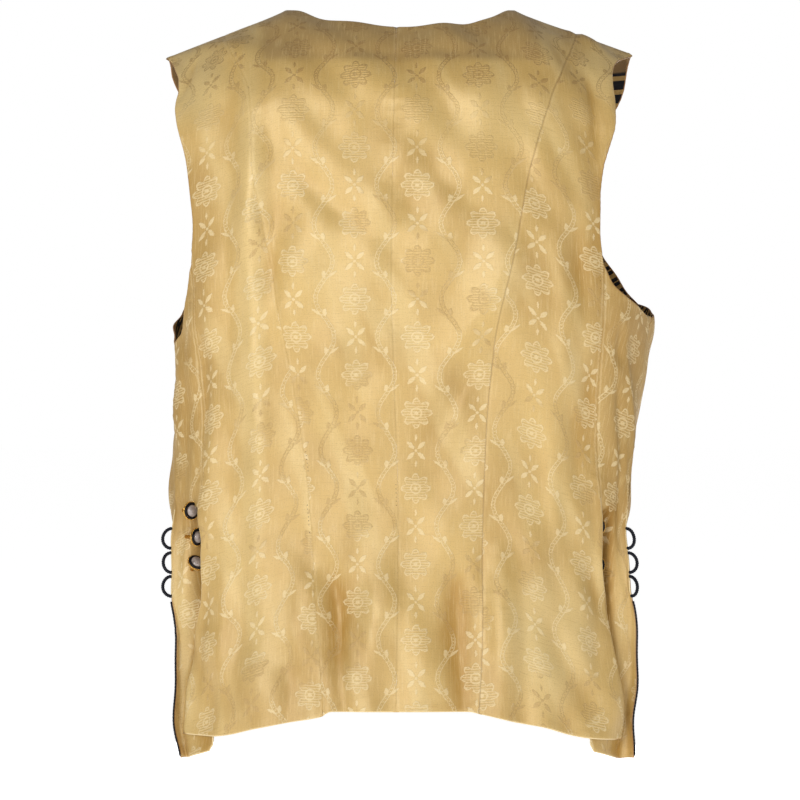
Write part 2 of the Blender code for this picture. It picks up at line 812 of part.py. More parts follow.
def cord(name, points, radius, colour):
    """A round cord along a line of points."""
    line = bpy.data.curves.new(name, "CURVE")
    line.dimensions = "3D"
    line.bevel_depth = radius
    line.bevel_resolution = 2
    line.use_fill_caps = True
    spline = line.splines.new("POLY")
    spline.points.add(len(points) - 1)
    for point, place in zip(spline.points, points):
        point.co = (*place, 1)
    line.materials.append(material(colour))
    piece = bpy.data.objects.new(name, line)
    parts.objects.link(piece)
    return piece


def wall_tree(piece):
    return BVHTree.FromPolygons([v.co for v in piece.data.vertices], [f.vertices for f in piece.data.polygons])


def way_to_seat(places, towards, wall, slack=0.0):
    """How far places move in a direction until the nearest is a gap and some slack from the wall."""
    moved = 0.0
    for _ in range(12):
        moved += min(wall.find_nearest(p + towards * moved)[3] for p in places) - slack - GAP
    return moved


def tail_edge(side, height):
    """A point of the tail's outer edge, and the directions outwards and straight off the cloth there."""
    surface = side_surfaces[side]
    place = flat_round(SIGN[side] * (slit_round(side, height) - GAP / 2) / HALF_GIRTH, height)
    round_, down = np.array([place[0]]), np.array([place[1]])
    point = surface(round_, down)[0]
    before = surface(round_ - SIGN[side] * 0.003, down)[0]
    out = point - before
    return point, out / np.linalg.norm(out), normals(surface, round_, down)[0]


def side_edge(side):
    """The dark rolled edge, from below the loops to the foot of the tail."""
    points = []
    for height in spaced(EDGE_CORD_TOP, EDGE_CORD_FOOT, 0.012):
        point, out, face = tail_edge(side, height)
        points.append(point + out * (EDGE_CORD_RADIUS + GAP) - face * WALL * 0.5)
    return cord(f"side_edge_{side}", points, EDGE_CORD_RADIUS, "dark")


def loop(side, number, height):
    """A cord loop that stands out from the tail's outer edge."""
    points = []
    for angle in np.linspace(-LOOP_HALF_TURN, LOOP_HALF_TURN, 11):
        turn = math.radians(angle)
        at = height + LOOP_HALF_HEIGHT * math.sin(turn)
        edge, out, face = tail_edge(side, at)
        stand = SEAT_START + LOOP_REACH * math.cos(turn)
        points.append(Vector(edge + out * stand - face * WALL * 0.5))
    towards = -Vector(tail_edge(side, height)[1])
    moved = way_to_seat(points, towards, walls[side], GAP)
    return cord(f"loop_{side}_{number}", [p + towards * moved for p in points], LOOP_CORD_RADIUS, "dark")


def turned(name, profile, colour, frame):
    """A turned piece from a profile (radius, height) that runs down its outer side."""
    data = bpy.data.meshes.new(name)
    data.from_pydata([(r, 0, z) for r, z in profile], [(i, i + 1) for i in range(len(profile) - 1)], [])
    piece = bpy.data.objects.new(name, data)
    parts.objects.link(piece)
    piece.data.materials.append(material(colour))
    screw = piece.modifiers.new("turn", "SCREW")
    screw.steps = screw.render_steps = BUTTON_STEPS
    screw.use_merge_vertices = True
    screw.merge_threshold = 0.00001
    piece.matrix_world = frame
    return piece


def button(side, number, place):
    """A pearl in a turned mount, whose shank stands on the tail."""
    surface = side_surfaces[side]
    x, height, turn, tilt, shank = place
    at = flat(x, height, "back")
    foot = surface(np.array([at[0]]), np.array([at[1]]))[0]
    turn, tilt = math.radians(turn), math.radians(tilt)
    facing = Vector((math.sin(turn) * math.cos(tilt), -math.cos(turn) * math.cos(tilt), math.sin(tilt)))
    upright = Vector((0, 0, 1))
    across = upright.cross(facing).normalized()
    up = facing.cross(across).normalized()
    start = Vector(foot) + facing * SEAT_START
    rim = [start]
    for angle in np.linspace(0, math.tau, BUTTON_STEPS, endpoint=False):
        rim.append(start + (across * math.cos(angle) + up * math.sin(angle)) * SHANK_FOOT_RADIUS)
    frame = Matrix((across, up, facing)).transposed().to_4x4()
    frame.translation = start - facing * way_to_seat(rim, -facing, walls[side])
    mount = [(r * BUTTON_RADIUS, shank + z) for r, z in zip(MOUNT["radius"], MOUNT["height"])]
    mount += [(SHANK_RADIUS, shank), (SHANK_FOOT_RADIUS, 0.0), (0.0, 0.0)]
    pearl = [(r * BUTTON_RADIUS, shank + z) for r, z in zip(PEARL["radius"], PEARL["height"])]
    turned(f"button_{side}_{number}", mount, "gilt", frame)
    turned(f"pearl_{side}_{number}", pearl, "pearl", frame)


for old in list(bpy.data.objects):
    bpy.data.objects.remove(old)
parts = bpy.data.collections.new("silk_waistcoat")
bpy.context.scene.collection.children.link(parts)

side_surfaces = {side: side_surface(side) for side in SIGN}
walls = {}
for side in SIGN:
    panel(f"back_centre_{side}", back_centre_outline(side), back_surface)
    panel(f"back_side_{side}", back_side_outline(side), back_surface)
    walls[side] = wall_tree(panel(f"side_{side}", side_outline(side), side_surfaces[side], TAIL_MESH_STEP))
    panel(f"front_{side}", front_outline(side), front_surface(side))
    side_edge(side)
    for number, height in enumerate(LOOP_HEIGHTS, 1):
        loop(side, number, height)
    rows = BUTTONS[side]
    for number, place in enumerate(zip(*rows.values()), 1):
        button(side, number, place)
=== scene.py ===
"""Looks of the silk waistcoat: gold jacquard outside, printed silk inside, black cord loops, pearl buttons.

The cloth is laid on the same form as the solids that it replaces, in a finer mesh with the smaller folds.
Metres, +Z up, the wearer facing +Y, so that the back is on the -Y side.
"""

import math

import bmesh
import bpy
import numpy as np
from mathutils import Matrix, Vector, geometry
from mathutils.bvhtree import BVHTree


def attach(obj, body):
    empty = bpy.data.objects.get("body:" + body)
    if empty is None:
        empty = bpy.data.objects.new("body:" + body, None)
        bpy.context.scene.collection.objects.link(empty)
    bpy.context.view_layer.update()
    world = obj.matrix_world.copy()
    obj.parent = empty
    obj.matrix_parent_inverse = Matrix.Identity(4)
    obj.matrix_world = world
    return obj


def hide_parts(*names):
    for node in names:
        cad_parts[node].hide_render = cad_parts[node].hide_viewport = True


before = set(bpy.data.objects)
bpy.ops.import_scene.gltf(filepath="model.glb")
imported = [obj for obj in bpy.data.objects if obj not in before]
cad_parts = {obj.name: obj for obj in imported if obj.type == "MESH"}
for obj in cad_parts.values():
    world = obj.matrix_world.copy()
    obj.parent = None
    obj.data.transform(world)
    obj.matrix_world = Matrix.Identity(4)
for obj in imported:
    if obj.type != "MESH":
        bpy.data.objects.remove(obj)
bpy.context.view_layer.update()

# Cloth, in metres, and its mesh
WALL = 0.0015
GAP = 0.0003
SEAM_GAP = 0.00006
MM = 1000.0
MESH_STEP = 0.0031
EDGE_STEP = 0.0028
LEVEL_COUNT = 260
SAME_PLACE = 0.0008
EDGE_ROWS = (0.0006, 0.0014, 0.0027)
EDGE_ROW_CLEARANCE = 0.93
INNER_GRID = EDGE_ROWS[-1] + MESH_STEP * 0.42
CHUNK = 1500
TINY = 1e-9
TINY_AREA = 1e-12
MESH_MERGE = 1e-7
NORMAL_STEP = 0.0015

# Form
SQUARENESS = 2.5
NECK_HALF_WIDTH = 0.102
SHOULDER_HALF_WIDTH = 0.2095
SHOULDER_SLOPE = {"left": 0.390, "right": 0.365}
CAP_HEIGHT = 0.090
CAP_DEPTH = 0.110
HALF_GIRTH = 0.530
TOP = 0.02
BOTTOM = -0.70
FLAT_TRIES = 2

# Where the lines of the cut start and end, and how the front is tucked in behind the tail
NECKLINE_END = 0.0985
CENTRE_SEAM_TOP = -0.0192
PRINCESS_SEAM_TOP = -0.0220
SHOULDER_TIP_HEIGHT = -0.0400
HEM = -0.6220
SLIT_TOP = -0.452
VENT_TOP = -0.4424
UNDERLAP_TOP = -0.4620
SEAM_BEHIND_WIDEST = 0.024
SLIT_TUCK = 0.009
TUCK_START = 0.010
TUCK_REACH = 0.090
TUCK_MIDDLE = -0.56
TUCK_HEIGHTS = (SLIT_TOP - 0.05, SLIT_TOP + 0.015)
FRONT_CORNER_RADIUS = 0.030
UNDERARM_POINTS = 41
CORNER_POINTS = 14
LEVEL_CLEARANCE = 0.003

# Trims
CORD_SIDES = 15
EDGE_CORD_STAND = 0.0007
EDGE_CORD_TOP = -0.5290
EDGE_CORD_FOOT = -0.6660
EDGE_CORD_STEP = 0.004
EDGE_CORD = {"Radius": 0.00088, "Strands": 2.0, "Strand Depth": 0.10, "Turn": 0.0060, "Step": 0.0008}
LOOP_CORD = {"Radius": 0.00148, "Strands": 3.0, "Strand Depth": 0.12, "Turn": 0.0054, "Step": 0.0006}
LOOP_HALF_HEIGHT = 0.0088
LOOP_REACH = 0.0075
LOOP_HALF_TURN = 82.0
LOOP_TUCK = 0.0012
EDGE_LOOK_BACK = 0.010
LOOP_POINTS = 33
LOOP_HEIGHTS = (-0.4730, -0.4945, -0.5155)
BUTTON_RADIUS = 0.0083
SHANK_RADIUS = 0.0020
SHANK_FOOT_RADIUS = 0.0017
SHANK_NECK = 0.0002
SEAT_START = 0.005
SEAT_TRIES = 12
BUTTON_STEPS = 40
ON_AXIS = 1e-6


class Value:
    """A node's output that takes part in sums: each operator adds its Math node."""

    def __init__(self, graph, node, output=0):
        self.graph = graph
        self.node = node
        self.socket = node.outputs[output] if len(node.outputs) else None

    def other(self, output):
        return Value(self.graph, self.node, output)

    def math(self, operation, *terms):
        return self.graph.add("ShaderNodeMath", {"operation": operation}, dict(enumerate(terms)))

    def __add__(self, term):
        return self.math("ADD", self, term)

    def __radd__(self, term):
        return self.math("ADD", term, self)

    def __sub__(self, term):
        return self.math("SUBTRACT", self, term)

    def __rsub__(self, term):
        return self.math("SUBTRACT", term, self)

    def __mul__(self, term):
        return self.math("MULTIPLY", self, term)

    def __rmul__(self, term):
        return self.math("MULTIPLY", term, self)

    def __truediv__(self, term):
        return self.math("DIVIDE", self, term)

    def __mod__(self, term):
        return self.math("FLOORED_MODULO", self, term)

    def __abs__(self):
        return self.math("ABSOLUTE", self)

    def floor(self):
        return self.math("FLOOR", self)

    def fract(self):
        return self.math("FRACT", self)

    def sin(self):
        return self.math("SINE", self)

    def cos(self):
        return self.math("COSINE", self)

    def sqrt(self):
        return self.math("SQRT", self)

    def most(self, term):
        return self.math("MAXIMUM", self, term)

    def turn_of(self, across):
        """The angle of the point (across, self) round the origin."""
        return self.math("ARCTAN2", self, across)

    def ramp(self, start, end, low=0.0, high=1.0):
        """From low to high, smoothly, as the value goes from start to end."""
        settings = {"interpolation_type": "SMOOTHSTEP"}
        return self.graph.add("ShaderNodeMapRange", settings, {0: self, 1: start, 2: end, 3: low, 4: high})

    def fade(self, start, end):
        """From 1 to 0, smoothly, as the value goes from start to end."""
        return self.ramp(start, end, 1.0, 0.0)


class Graph:
    """A node tree that grows by one call for each node."""

    def __init__(self, tree):
        self.tree = tree
        tree.nodes.clear()

    def add(self, kind, settings=None, sockets=None, output=0):
        """Adds a node, then makes its settings, then gives its sockets their values or links."""
        node = self.tree.nodes.new(kind)
        for name, value in (settings or {}).items():
            setattr(node, name, value)
        for key, value in (sockets or {}).items():
            if isinstance(value, Value):
                self.tree.links.new(value.socket, node.inputs[key])
            else:
                node.inputs[key].default_value = value
        return Value(self, node, output)

    def mix(self, share, first, second):
        """A colour between two, by a share from 0 to 1."""
        sockets = {0: share, 6: self.colour(first), 7: self.colour(second)}
        return self.add("ShaderNodeMix", {"data_type": "RGBA"}, sockets, 2)

    def colour(self, given):
        return given if isinstance(given, Value) else (*given, 1)

    def noise(self, place, scale, detail=2.0, roughness=0.5):
        sockets = {"Vector": place, "Scale": scale, "Detail": detail, "Roughness": roughness}
        return self.add("ShaderNodeTexNoise", {}, sockets)

    def object_place(self):
        """The place on the garment, in metres."""
        return self.add("ShaderNodeTexCoord", {}, {}, "Object")

    def attribute(self, name):
        return self.add("ShaderNodeAttribute", {"attribute_name": name}, {}, "Fac")

    def axes(self, place):
        """The three numbers of a place."""
        split = self.add("ShaderNodeSeparateXYZ", {}, {0: place})
        return split, split.other(1), split.other(2)

    def place(self, x, y, z=0.0):
        return self.add("ShaderNodeCombineXYZ", {}, {0: x, 1: y, 2: z})

    def bump(self, height, distance, strength=1.0, under=None):
        sockets = {"Height": height, "Distance": distance, "Strength": strength}
        if under is not None:
            sockets["Normal"] = under
        return self.add("ShaderNodeBump", {}, sockets)


def shader(name):
    made = bpy.data.materials.new(name)
    made.use_nodes = True
    return made, Graph(made.node_tree)


def finish_shader(graph, sockets):
    """Ends a shader with one Principled node and its output."""
    surface = graph.add("ShaderNodeBsdfPrincipled", {}, sockets)
    graph.add("ShaderNodeOutputMaterial", {}, {"Surface": surface})


# The jacquard's repeat, in millimetres: rosettes in half drop, sprigs between them, and wavy stems.
REPEAT_WIDTH = 52.0
REPEAT_HEIGHT = 66.0
LINE_SOFTNESS = 0.18
PETAL_SOFTNESS = (-0.2, 0.2)
ROSETTE_INNER = 8.2
ROSETTE_LOBE = 4.6
ROSETTE_LOBES = 8
ROSETTE_LINE = 0.75
ROSETTE_RING = 4.4
ROSETTE_RING_LINE = 0.70
ROSETTE_EYE = 1.9
STEM_SWING = 7.5
STEM_HALF = 1.45
STEM_LINE = 0.42
CHAIN = 2.9
CHAIN_BEAD = 0.62
HATCH = 2.3
HATCH_LINE = 0.50
HATCH_SHARE = 0.85
# Leaves: how far out the middle lies, half width and half length.
SPRIG_LEAF = (6.6, 1.9, 4.8)
SPRIG_TIP = (11.5, 1.1, 3.2)
SPRIG_EYE = 1.3
SPRIG_TURN = 45.0
STEM_LEAF = (6.0, 1.6, 4.4)
STEM_LEAF_TURN = 38.0
STEM_LEAF_ASIDE = 0.4
# The threads, and how far the figure wanders and steps across and along the cloth, in millimetres.
WEFT_PITCH = 0.62
WARP_PITCH = 0.45
WANDER = (1.6, 1.1)
THREAD_STEP = (2.2, 1.4)
# Noise in the cloth: scale and detail.
WANDER_NOISE = (60.0, 2.0)
STEP_NOISE = (620.0, 1.0)
GRAIN_NOISE = (900.0, 2.0)
TONE_NOISE = (9.0, 3.0)
PATCH_SHADE_NOISE = (13.0, 1.0)
PRINT_NOISE = (14.0, 1.0)
# Slubs: noise drawn out along one set of threads, by its scales across and along the cloth.
DOWN_SLUB = (760.0, 52.0)
CROSS_SLUB = (64.0, 860.0)
SLUB_DETAIL = 3.0
# Painted sheen: slanting streaks of light painted into the ground, by scales across, slanting and along.
PAINTED_STREAK = (26.0, 9.0, 7.0)
# Where on a noise its colour shows, and how strongly.
TONE_SHARE = (0.35, 0.75)
PAINTED_STREAK_SHARE = (0.50, 0.68)
PAINTED_STREAK_STRENGTH = 0.55
PATCH_SHADE_SHARE = (0.54, 0.60)
PATCH_SHADE_STRENGTH = 0.85
GRAIN_SHARE = (0.30, 0.70)
FIGURE_LEAST = 0.36
FIGURE_BY_GRAIN = 0.42
# Bumps: distance and strength.
WEAVE_BUMP = (0.00009, 0.7)
FIGURE_BUMP = (0.00020, 0.8)
LINING_BUMP = (0.00005, 0.5)

# Colours: the ground, its painted sheen and painted shades, the figure and its painted shade, threads and
# edges, and the print.
GROUND = (0.640, 0.428, 0.142)
GROUND_DEEP = (0.500, 0.308, 0.086)
PAINTED_SHEEN_GOLD = (0.740, 0.545, 0.230)
PAINTED_FOLD_SHADE = (0.440, 0.232, 0.030)
SIDE_SHADE = (0.410, 0.236, 0.052)
NECK_SHADE = (0.430, 0.272, 0.094)
MOTIF_LIGHT = (0.860, 0.700, 0.400)
MOTIF_PAINTED_SHADE = (0.330, 0.185, 0.055)
MOTIF_PATCH_SHADE = (0.430, 0.245, 0.060)
THREAD_LIGHT = (0.720, 0.540, 0.250)
EDGE_BROWN = (0.330, 0.140, 0.045)
SEAM_BROWN = (0.280, 0.150, 0.045)
PAINTED_VENT_SHADE = (0.330, 0.165, 0.026)
PRINT_BLACK = (0.004, 0.004, 0.006)
PRINT_GOLD = (0.480, 0.300, 0.100)
TAN_PRINT_AND_SHADE = (0.270, 0.160, 0.062)

# Where the painted shades and painted highlights of the silk lie, from one place across, in depth or in
# height to another.
LEFT_TO_RIGHT = (-0.010, 0.010)
NECK_BAND = (-0.0560, -0.0470)
NECK_MIDDLE = 0.0005
NECK_SIDES = (0.117, 0.128)
NECK_DEPTH = (0.0, 0.012)
SIDE_TURN = (0.148, 0.192)
SIDE_FOOT = (-0.500, -0.440)
SIDE_HEAD = (-0.180, -0.110)
VENT_EDGE = (0.170, 0.176)
VENT_SHADE = (0.184, 0.197)
VENT_DEPTH = (-0.059, -0.055)
VENT_FRONT = (-0.030, -0.020)
VENT_FOOT = (-0.620, -0.560)
VENT_HEAD = (-0.450, -0.430)
VENT_LEFT_SHARE = 0.35
FOLD_SHADE_DEPTH = (-0.0080, -0.0012)
PAINTED_SHEEN_DEPTH = (-0.020, 0.0)
PAINTED_SHEEN_REACH = 1.7
# The figure is painted darker than its ground over the shoulders, as painted shade, and faint where it
# changes over.
MOTIF_SHADE_HEIGHTS = (-0.125, -0.070)
FAINT_HEIGHT = -0.105
FAINT_REACH = (0.010, 0.045)
FAINT_SHARE = 0.45
# Seams and edges: where the stitching line starts to show and how much, and how wide it is.
LEFT_SEAM_DARK = (-0.035, -0.025, 0.0, 0.10)
RIGHT_SEAM_DARK = (0.040, 0.050, 0.0, 0.30)
SIDE_SEAMS = (0.168, 0.174)
SIDE_SEAM_FAINTER = 0.7
PRESSED_SHARE = 0.08
PRESSED_AT_SIDE = 0.14
STITCH_LINE = (0.0001, 0.0009)
PRESSED_FROM = (0.0007, 0.0013)
PRESSED_TO = (0.0018, 0.0028)
EDGE_LINE = (0.0004, 0.0012, 0.70, 0.0)
BROWN_ABOVE = (-0.340, -0.320)
TAIL_BELOW = (-0.530, -0.520)
TAIL_OUTSIDE = (0.188, 0.193)

# The lining's print, in millimetres: slanting bars, with dashed thin lines between them.
PRINT_TURN = 38.0
PRINT_WANDER = 3.0
BAR_PITCH = 11.5
BAR_HALF = 1.9
THIN_HALF = 0.45
DASH_PITCH = 23.0
DASH_HALF = 8.0
LINING_THREAD = 0.5
# At the shoulder tips the bars lie level and the ground is tan, partly a tan print and partly painted shade
# inside the tips, reaching lower on the left; in metres on the garment.
TIP_SIDES = (0.150, 0.165)
TIP_PRINT = (-0.115, -0.090)
TIP_TAN_AND_SHADE = (-0.0820, -0.0518)
TIP_SHIFT = 5.1
TAN_SOFTNESS = 0.0012
LINING_EDGE = (0.0003, 0.0008, 0.8, 0.0)

# Painted highlights, where the satin's sheen is painted into its colour: x and height of the middle, half
# width and half height, and strength.
PAINTED_SHEEN = (
    (-0.1305, -0.276, 0.0130, 0.260, 0.60),
    (0.1305, -0.560, 0.0420, 0.060, 0.75),
    (-0.1200, -0.559, 0.0260, 0.055, 0.40),
    (-0.0610, -0.233, 0.0380, 0.034, 0.35),
    (0.0827, -0.235, 0.0260, 0.036, 0.45),
    (0.0870, -0.102, 0.0700, 0.032, 0.40),
    (-0.1900, -0.068, 0.0380, 0.038, 0.85),
    (0.1880, -0.058, 0.0300, 0.026, 0.70),
    (-0.1970, -0.580, 0.0160, 0.110, 0.70),
)


def line_mask(off, half):
    """1 within a line of this half width, 0 outside it, with a soft edge."""
    return abs(off).fade(half - LINE_SOFTNESS, half + LINE_SOFTNESS)


def leaf(across, along, half_width, half_length):
    """1 in a pointed leaf that lies along its second coordinate."""
    belly = 1.0 - (along / half_length) * (along / half_length)
    return (abs(across) - half_width * belly).fade(-LINE_SOFTNESS, LINE_SOFTNESS)


def rotated(x, y, degrees):
    turn = math.radians(degrees)
    return x * math.cos(turn) - y * math.sin(turn), x * math.sin(turn) + y * math.cos(turn)


def from_middle(share, pitch):
    """How far a place lies from the middle of its repeat, from how many repeats lie before it."""
    return (share.fract() - 0.5) * pitch


def rosette(x, y):
    """A lobed flower with a hatched body, a ring and an eye."""
    radius = (x * x + y * y).sqrt()
    lobe = abs((y.turn_of(x) * (ROSETTE_LOBES / 2)).cos())
    petal = radius - ROSETTE_INNER - ROSETTE_LOBE * lobe
    stripes = line_mask(from_middle(y / HATCH, HATCH), HATCH_LINE)
    body = petal.ramp(*PETAL_SOFTNESS, HATCH_SHARE, 0.0) * stripes
    ring = line_mask(radius - ROSETTE_RING, ROSETTE_RING_LINE)
    return line_mask(petal, ROSETTE_LINE).most(body).most(ring).most(line_mask(radius, ROSETTE_EYE))


def crossed_sprig(x, y):
    """Four leaves crossed round an eye, with a small leaf above and below."""
    low, high = rotated(abs(x), abs(y), SPRIG_TURN)
    out, half_width, half_length = SPRIG_LEAF
    leaves = leaf(low, high - out, half_width, half_length)
    out, half_width, half_length = SPRIG_TIP
    tips = leaf(x, abs(y) - out, half_width, half_length)
    return leaves.most(line_mask((x * x + y * y).sqrt(), SPRIG_EYE)).most(tips)


def wavy_stem(across, v):
    """A wavy double line with a chain of beads inside it, and a pair of leaves at each turn."""
    border = (across + 0.5).floor() % 2.0
    beat = v * (math.tau / REPEAT_HEIGHT)
    swing = STEM_SWING * (1.0 - 2.0 * border)
    x = from_middle(across + 0.5, REPEAT_WIDTH) - beat.cos() * swing
    slope = beat.sin() * (STEM_SWING * math.tau / REPEAT_HEIGHT)
    off = x / (slope * slope + 1.0).sqrt()
    bead = from_middle(v / CHAIN, CHAIN)
    beads = line_mask((off * off + bead * bead).sqrt(), CHAIN_BEAD)
    y = from_middle(v * 2.0 / REPEAT_HEIGHT, REPEAT_HEIGHT / 2)
    low, high = rotated(abs(x), y, STEM_LEAF_TURN)
    out, half_width, half_length = STEM_LEAF
    leaves = leaf(low + STEM_LEAF_ASIDE, high - out, half_width, half_length)
    return line_mask(abs(off) - STEM_HALF, STEM_LINE).most(beads).most(leaves)


def jacquard(u, v):
    """The woven figure, 1 on it and 0 on its ground, from places in millimetres."""
    across = u / REPEAT_WIDTH
    fallen = v / REPEAT_HEIGHT + (across.floor() % 2.0) * 0.5
    x = from_middle(across, REPEAT_WIDTH)
    flower = rosette(x, from_middle(fallen, REPEAT_HEIGHT))
    sprig = crossed_sprig(x, from_middle(fallen + 0.5, REPEAT_HEIGHT))
    return flower.most(sprig).most(wavy_stem(across, v))


def painted_sheen_places(across, height):
    """How much satin sheen is painted, as painted highlights, in soft oval places of the back."""
    shine = None
    for x, z, half_width, half_height, strength in PAINTED_SHEEN:
        right = (across - x) / half_width
        above = (height - z) / half_height
        spot = (right * right + above * above).ramp(0.0, PAINTED_SHEEN_REACH, strength, 0.0)
        shine = spot if shine is None else shine.most(spot)
    return shine


def side_shade_place(across, height):
    """Painted shade where the back turns away to the sides, below the armholes."""
    return abs(across).ramp(*SIDE_TURN) * height.ramp(*SIDE_FOOT) * height.fade(*SIDE_HEAD)


def vent_shade_place(across, depth, height):
    """Painted shade where the tail dips under the back, deeper on the right than on the left."""
    place = abs(across).fade(*VENT_SHADE) * abs(across).ramp(*VENT_EDGE)
    place = place * depth.ramp(*VENT_DEPTH) * depth.fade(*VENT_FRONT)
    place = place * height.ramp(*VENT_FOOT) * height.fade(*VENT_HEAD)
    return place * across.ramp(*LEFT_TO_RIGHT, VENT_LEFT_SHARE, 1.0)


def neck_shade_place(across, depth, height):
    """Painted shade on the band of the back along its neckline."""
    place = height.ramp(*NECK_BAND) * abs(across - NECK_MIDDLE).fade(*NECK_SIDES)
    return place * depth.fade(*NECK_DEPTH)


def layered(graph, colour, layers):
    """A colour under thin layers of others, each where its share is and as strong as it says."""
    for share, strength, tint in layers:
        colour = graph.mix(share * strength, colour, tint)
    return colour


def satin_ground(graph, cut, u, v):
    """The ground's colour, mottled, with long slanting streaks of painted sheen."""
    across, slant, along = PAINTED_STREAK
    tone = graph.noise(cut, *TONE_NOISE).ramp(*TONE_SHARE)
    painted_streak = graph.noise(graph.place(u * across + v * slant, v * along), 1.0).ramp(*PAINTED_STREAK_SHARE)
    return graph.mix(painted_streak * PAINTED_STREAK_STRENGTH, graph.mix(tone, GROUND, GROUND_DEEP), PAINTED_SHEEN_GOLD)


def with_figure(graph, ground, figure, cut, grain, height):
    """The ground with the figure on it, painted darker in shade over the shoulders and in random patches,
    and broken up by the grain.
    """
    # Painted shade: the figure turns darker than its ground over the shoulders.
    painted_motif_shade = height.ramp(*MOTIF_SHADE_HEIGHTS)
    # Painted shade of the figure in random patches.
    patch_shade = graph.noise(cut, *PATCH_SHADE_NOISE).ramp(*PATCH_SHADE_SHARE) * (1.0 - painted_motif_shade)
    motif = graph.mix(painted_motif_shade, MOTIF_LIGHT, MOTIF_PAINTED_SHADE)
    motif = graph.mix(patch_shade * PATCH_SHADE_STRENGTH, motif, MOTIF_PATCH_SHADE)
    faint = abs(height - FAINT_HEIGHT).ramp(*FAINT_REACH, FAINT_SHARE, 1.0)
    shown = FIGURE_LEAST + grain.ramp(*GRAIN_SHARE) * FIGURE_BY_GRAIN
    return graph.mix(figure * faint * shown, ground, motif)


def with_seams_and_edges(graph, colour, across, height):
    """Adds each seam's dark line and the lighter band pressed beside it, and a thin line at free edges:
    brown on the upper edges and the tails' outer edges, pale below as a painted highlight on the rolled
    edge.
    """
    to_seam = graph.attribute("to_seam")
    side_seam = abs(across).ramp(*SIDE_SEAMS)
    dark = across.ramp(*LEFT_SEAM_DARK) + across.ramp(*RIGHT_SEAM_DARK)
    dark = dark * (1.0 - side_seam * SIDE_SEAM_FAINTER)
    colour = graph.mix(to_seam.fade(*STITCH_LINE) * dark, colour, SEAM_BROWN)
    pressed = to_seam.ramp(*PRESSED_FROM) * to_seam.fade(*PRESSED_TO)
    colour = graph.mix(pressed * (side_seam * PRESSED_AT_SIDE + PRESSED_SHARE), colour, MOTIF_LIGHT)
    # Free edges: a brown line on the upper edges and the tails' outer edges; below, a pale line painted as
    # a highlight on the rolled edge.
    tail_side = height.fade(*TAIL_BELOW) * abs(across).ramp(*TAIL_OUTSIDE)
    line = graph.mix(height.ramp(*BROWN_ABOVE).most(tail_side), MOTIF_LIGHT, EDGE_BROWN)
    return graph.mix(graph.attribute("to_edge").ramp(*EDGE_LINE), colour, line)


def thread_wave(along, pitch):
    """Threads side by side at a pitch in millimetres, from 0 between them to 1 on them."""
    return (along * (MM * math.tau / pitch)).sin() * 0.5 + 0.5


def silk():
    """Gold satin with the figure woven in, with painted sheen and painted shade, and its threads, seams and
    edges drawn in.
    """
    made, graph = shader("gold_jacquard")
    cut = graph.add("ShaderNodeUVMap", {"uv_map": "cut"})
    u, v, _ = graph.axes(cut)
    across, depth, height = graph.axes(graph.object_place())
    wander = graph.noise(cut, *WANDER_NOISE) - 0.5
    step = graph.noise(cut, *STEP_NOISE) - 0.5
    figure = jacquard(
        u * MM + wander * WANDER[0] + step * THREAD_STEP[0],
        v * MM + wander * WANDER[1] + step * THREAD_STEP[1],
    )
    down_slub = graph.noise(graph.place(u * DOWN_SLUB[0], v * DOWN_SLUB[1]), 1.0, SLUB_DETAIL)
    cross_slub = graph.noise(graph.place(u * CROSS_SLUB[0], v * CROSS_SLUB[1]), 1.0, SLUB_DETAIL)
    grain = graph.noise(cut, *GRAIN_NOISE)
    side_shade_mask = side_shade_place(across, height)
    vent_shade_mask = vent_shade_place(across, depth, height)
    # Painted highlights: the satin's sheen painted lighter in soft ovals on the back.
    shine = painted_sheen_places(across, height) * depth.fade(*PAINTED_SHEEN_DEPTH)
    colour = graph.mix(shine, satin_ground(graph, cut, u, v), PAINTED_SHEEN_GOLD)
    shades = (
        # Painted shade where the back turns away at the sides.
        (side_shade_mask, 0.80, SIDE_SHADE),
        # Painted shade in the hollows of the folds.
        (graph.attribute("fold").fade(*FOLD_SHADE_DEPTH), 0.85, PAINTED_FOLD_SHADE),
        # Painted shade beside the vents.
        (vent_shade_mask, 0.90, PAINTED_VENT_SHADE),
        # Painted shade along the neckline.
        (neck_shade_place(across, depth, height), 0.80, NECK_SHADE),
    )
    threads = (
        (down_slub.ramp(0.48, 0.74), 0.42, THREAD_LIGHT),
        (cross_slub.ramp(0.50, 0.74), 0.38, GROUND_DEEP),
        (grain.ramp(0.50, 0.75), 0.30, SEAM_BROWN),
    )
    colour = with_figure(graph, layered(graph, colour, shades), figure, cut, grain, height)
    colour = with_seams_and_edges(graph, layered(graph, colour, threads), across, height)
    roughness = 0.37 + figure * 0.10 - down_slub * 0.06 + grain * 0.05 + side_shade_mask * 0.20 + vent_shade_mask * 0.15
    weave = thread_wave(u, WARP_PITCH) * 0.4 + thread_wave(v, WEFT_PITCH) * 0.3 + cross_slub + grain
    sockets = {
        "Base Color": colour,
        "Roughness": roughness,
        "Normal": graph.bump(figure, *FIGURE_BUMP, graph.bump(weave, *WEAVE_BUMP)),
        "Metallic": vent_shade_mask * 0.55 + 0.10,
        "Specular IOR Level": 0.62,
    }
    finish_shader(graph, sockets)
    return made


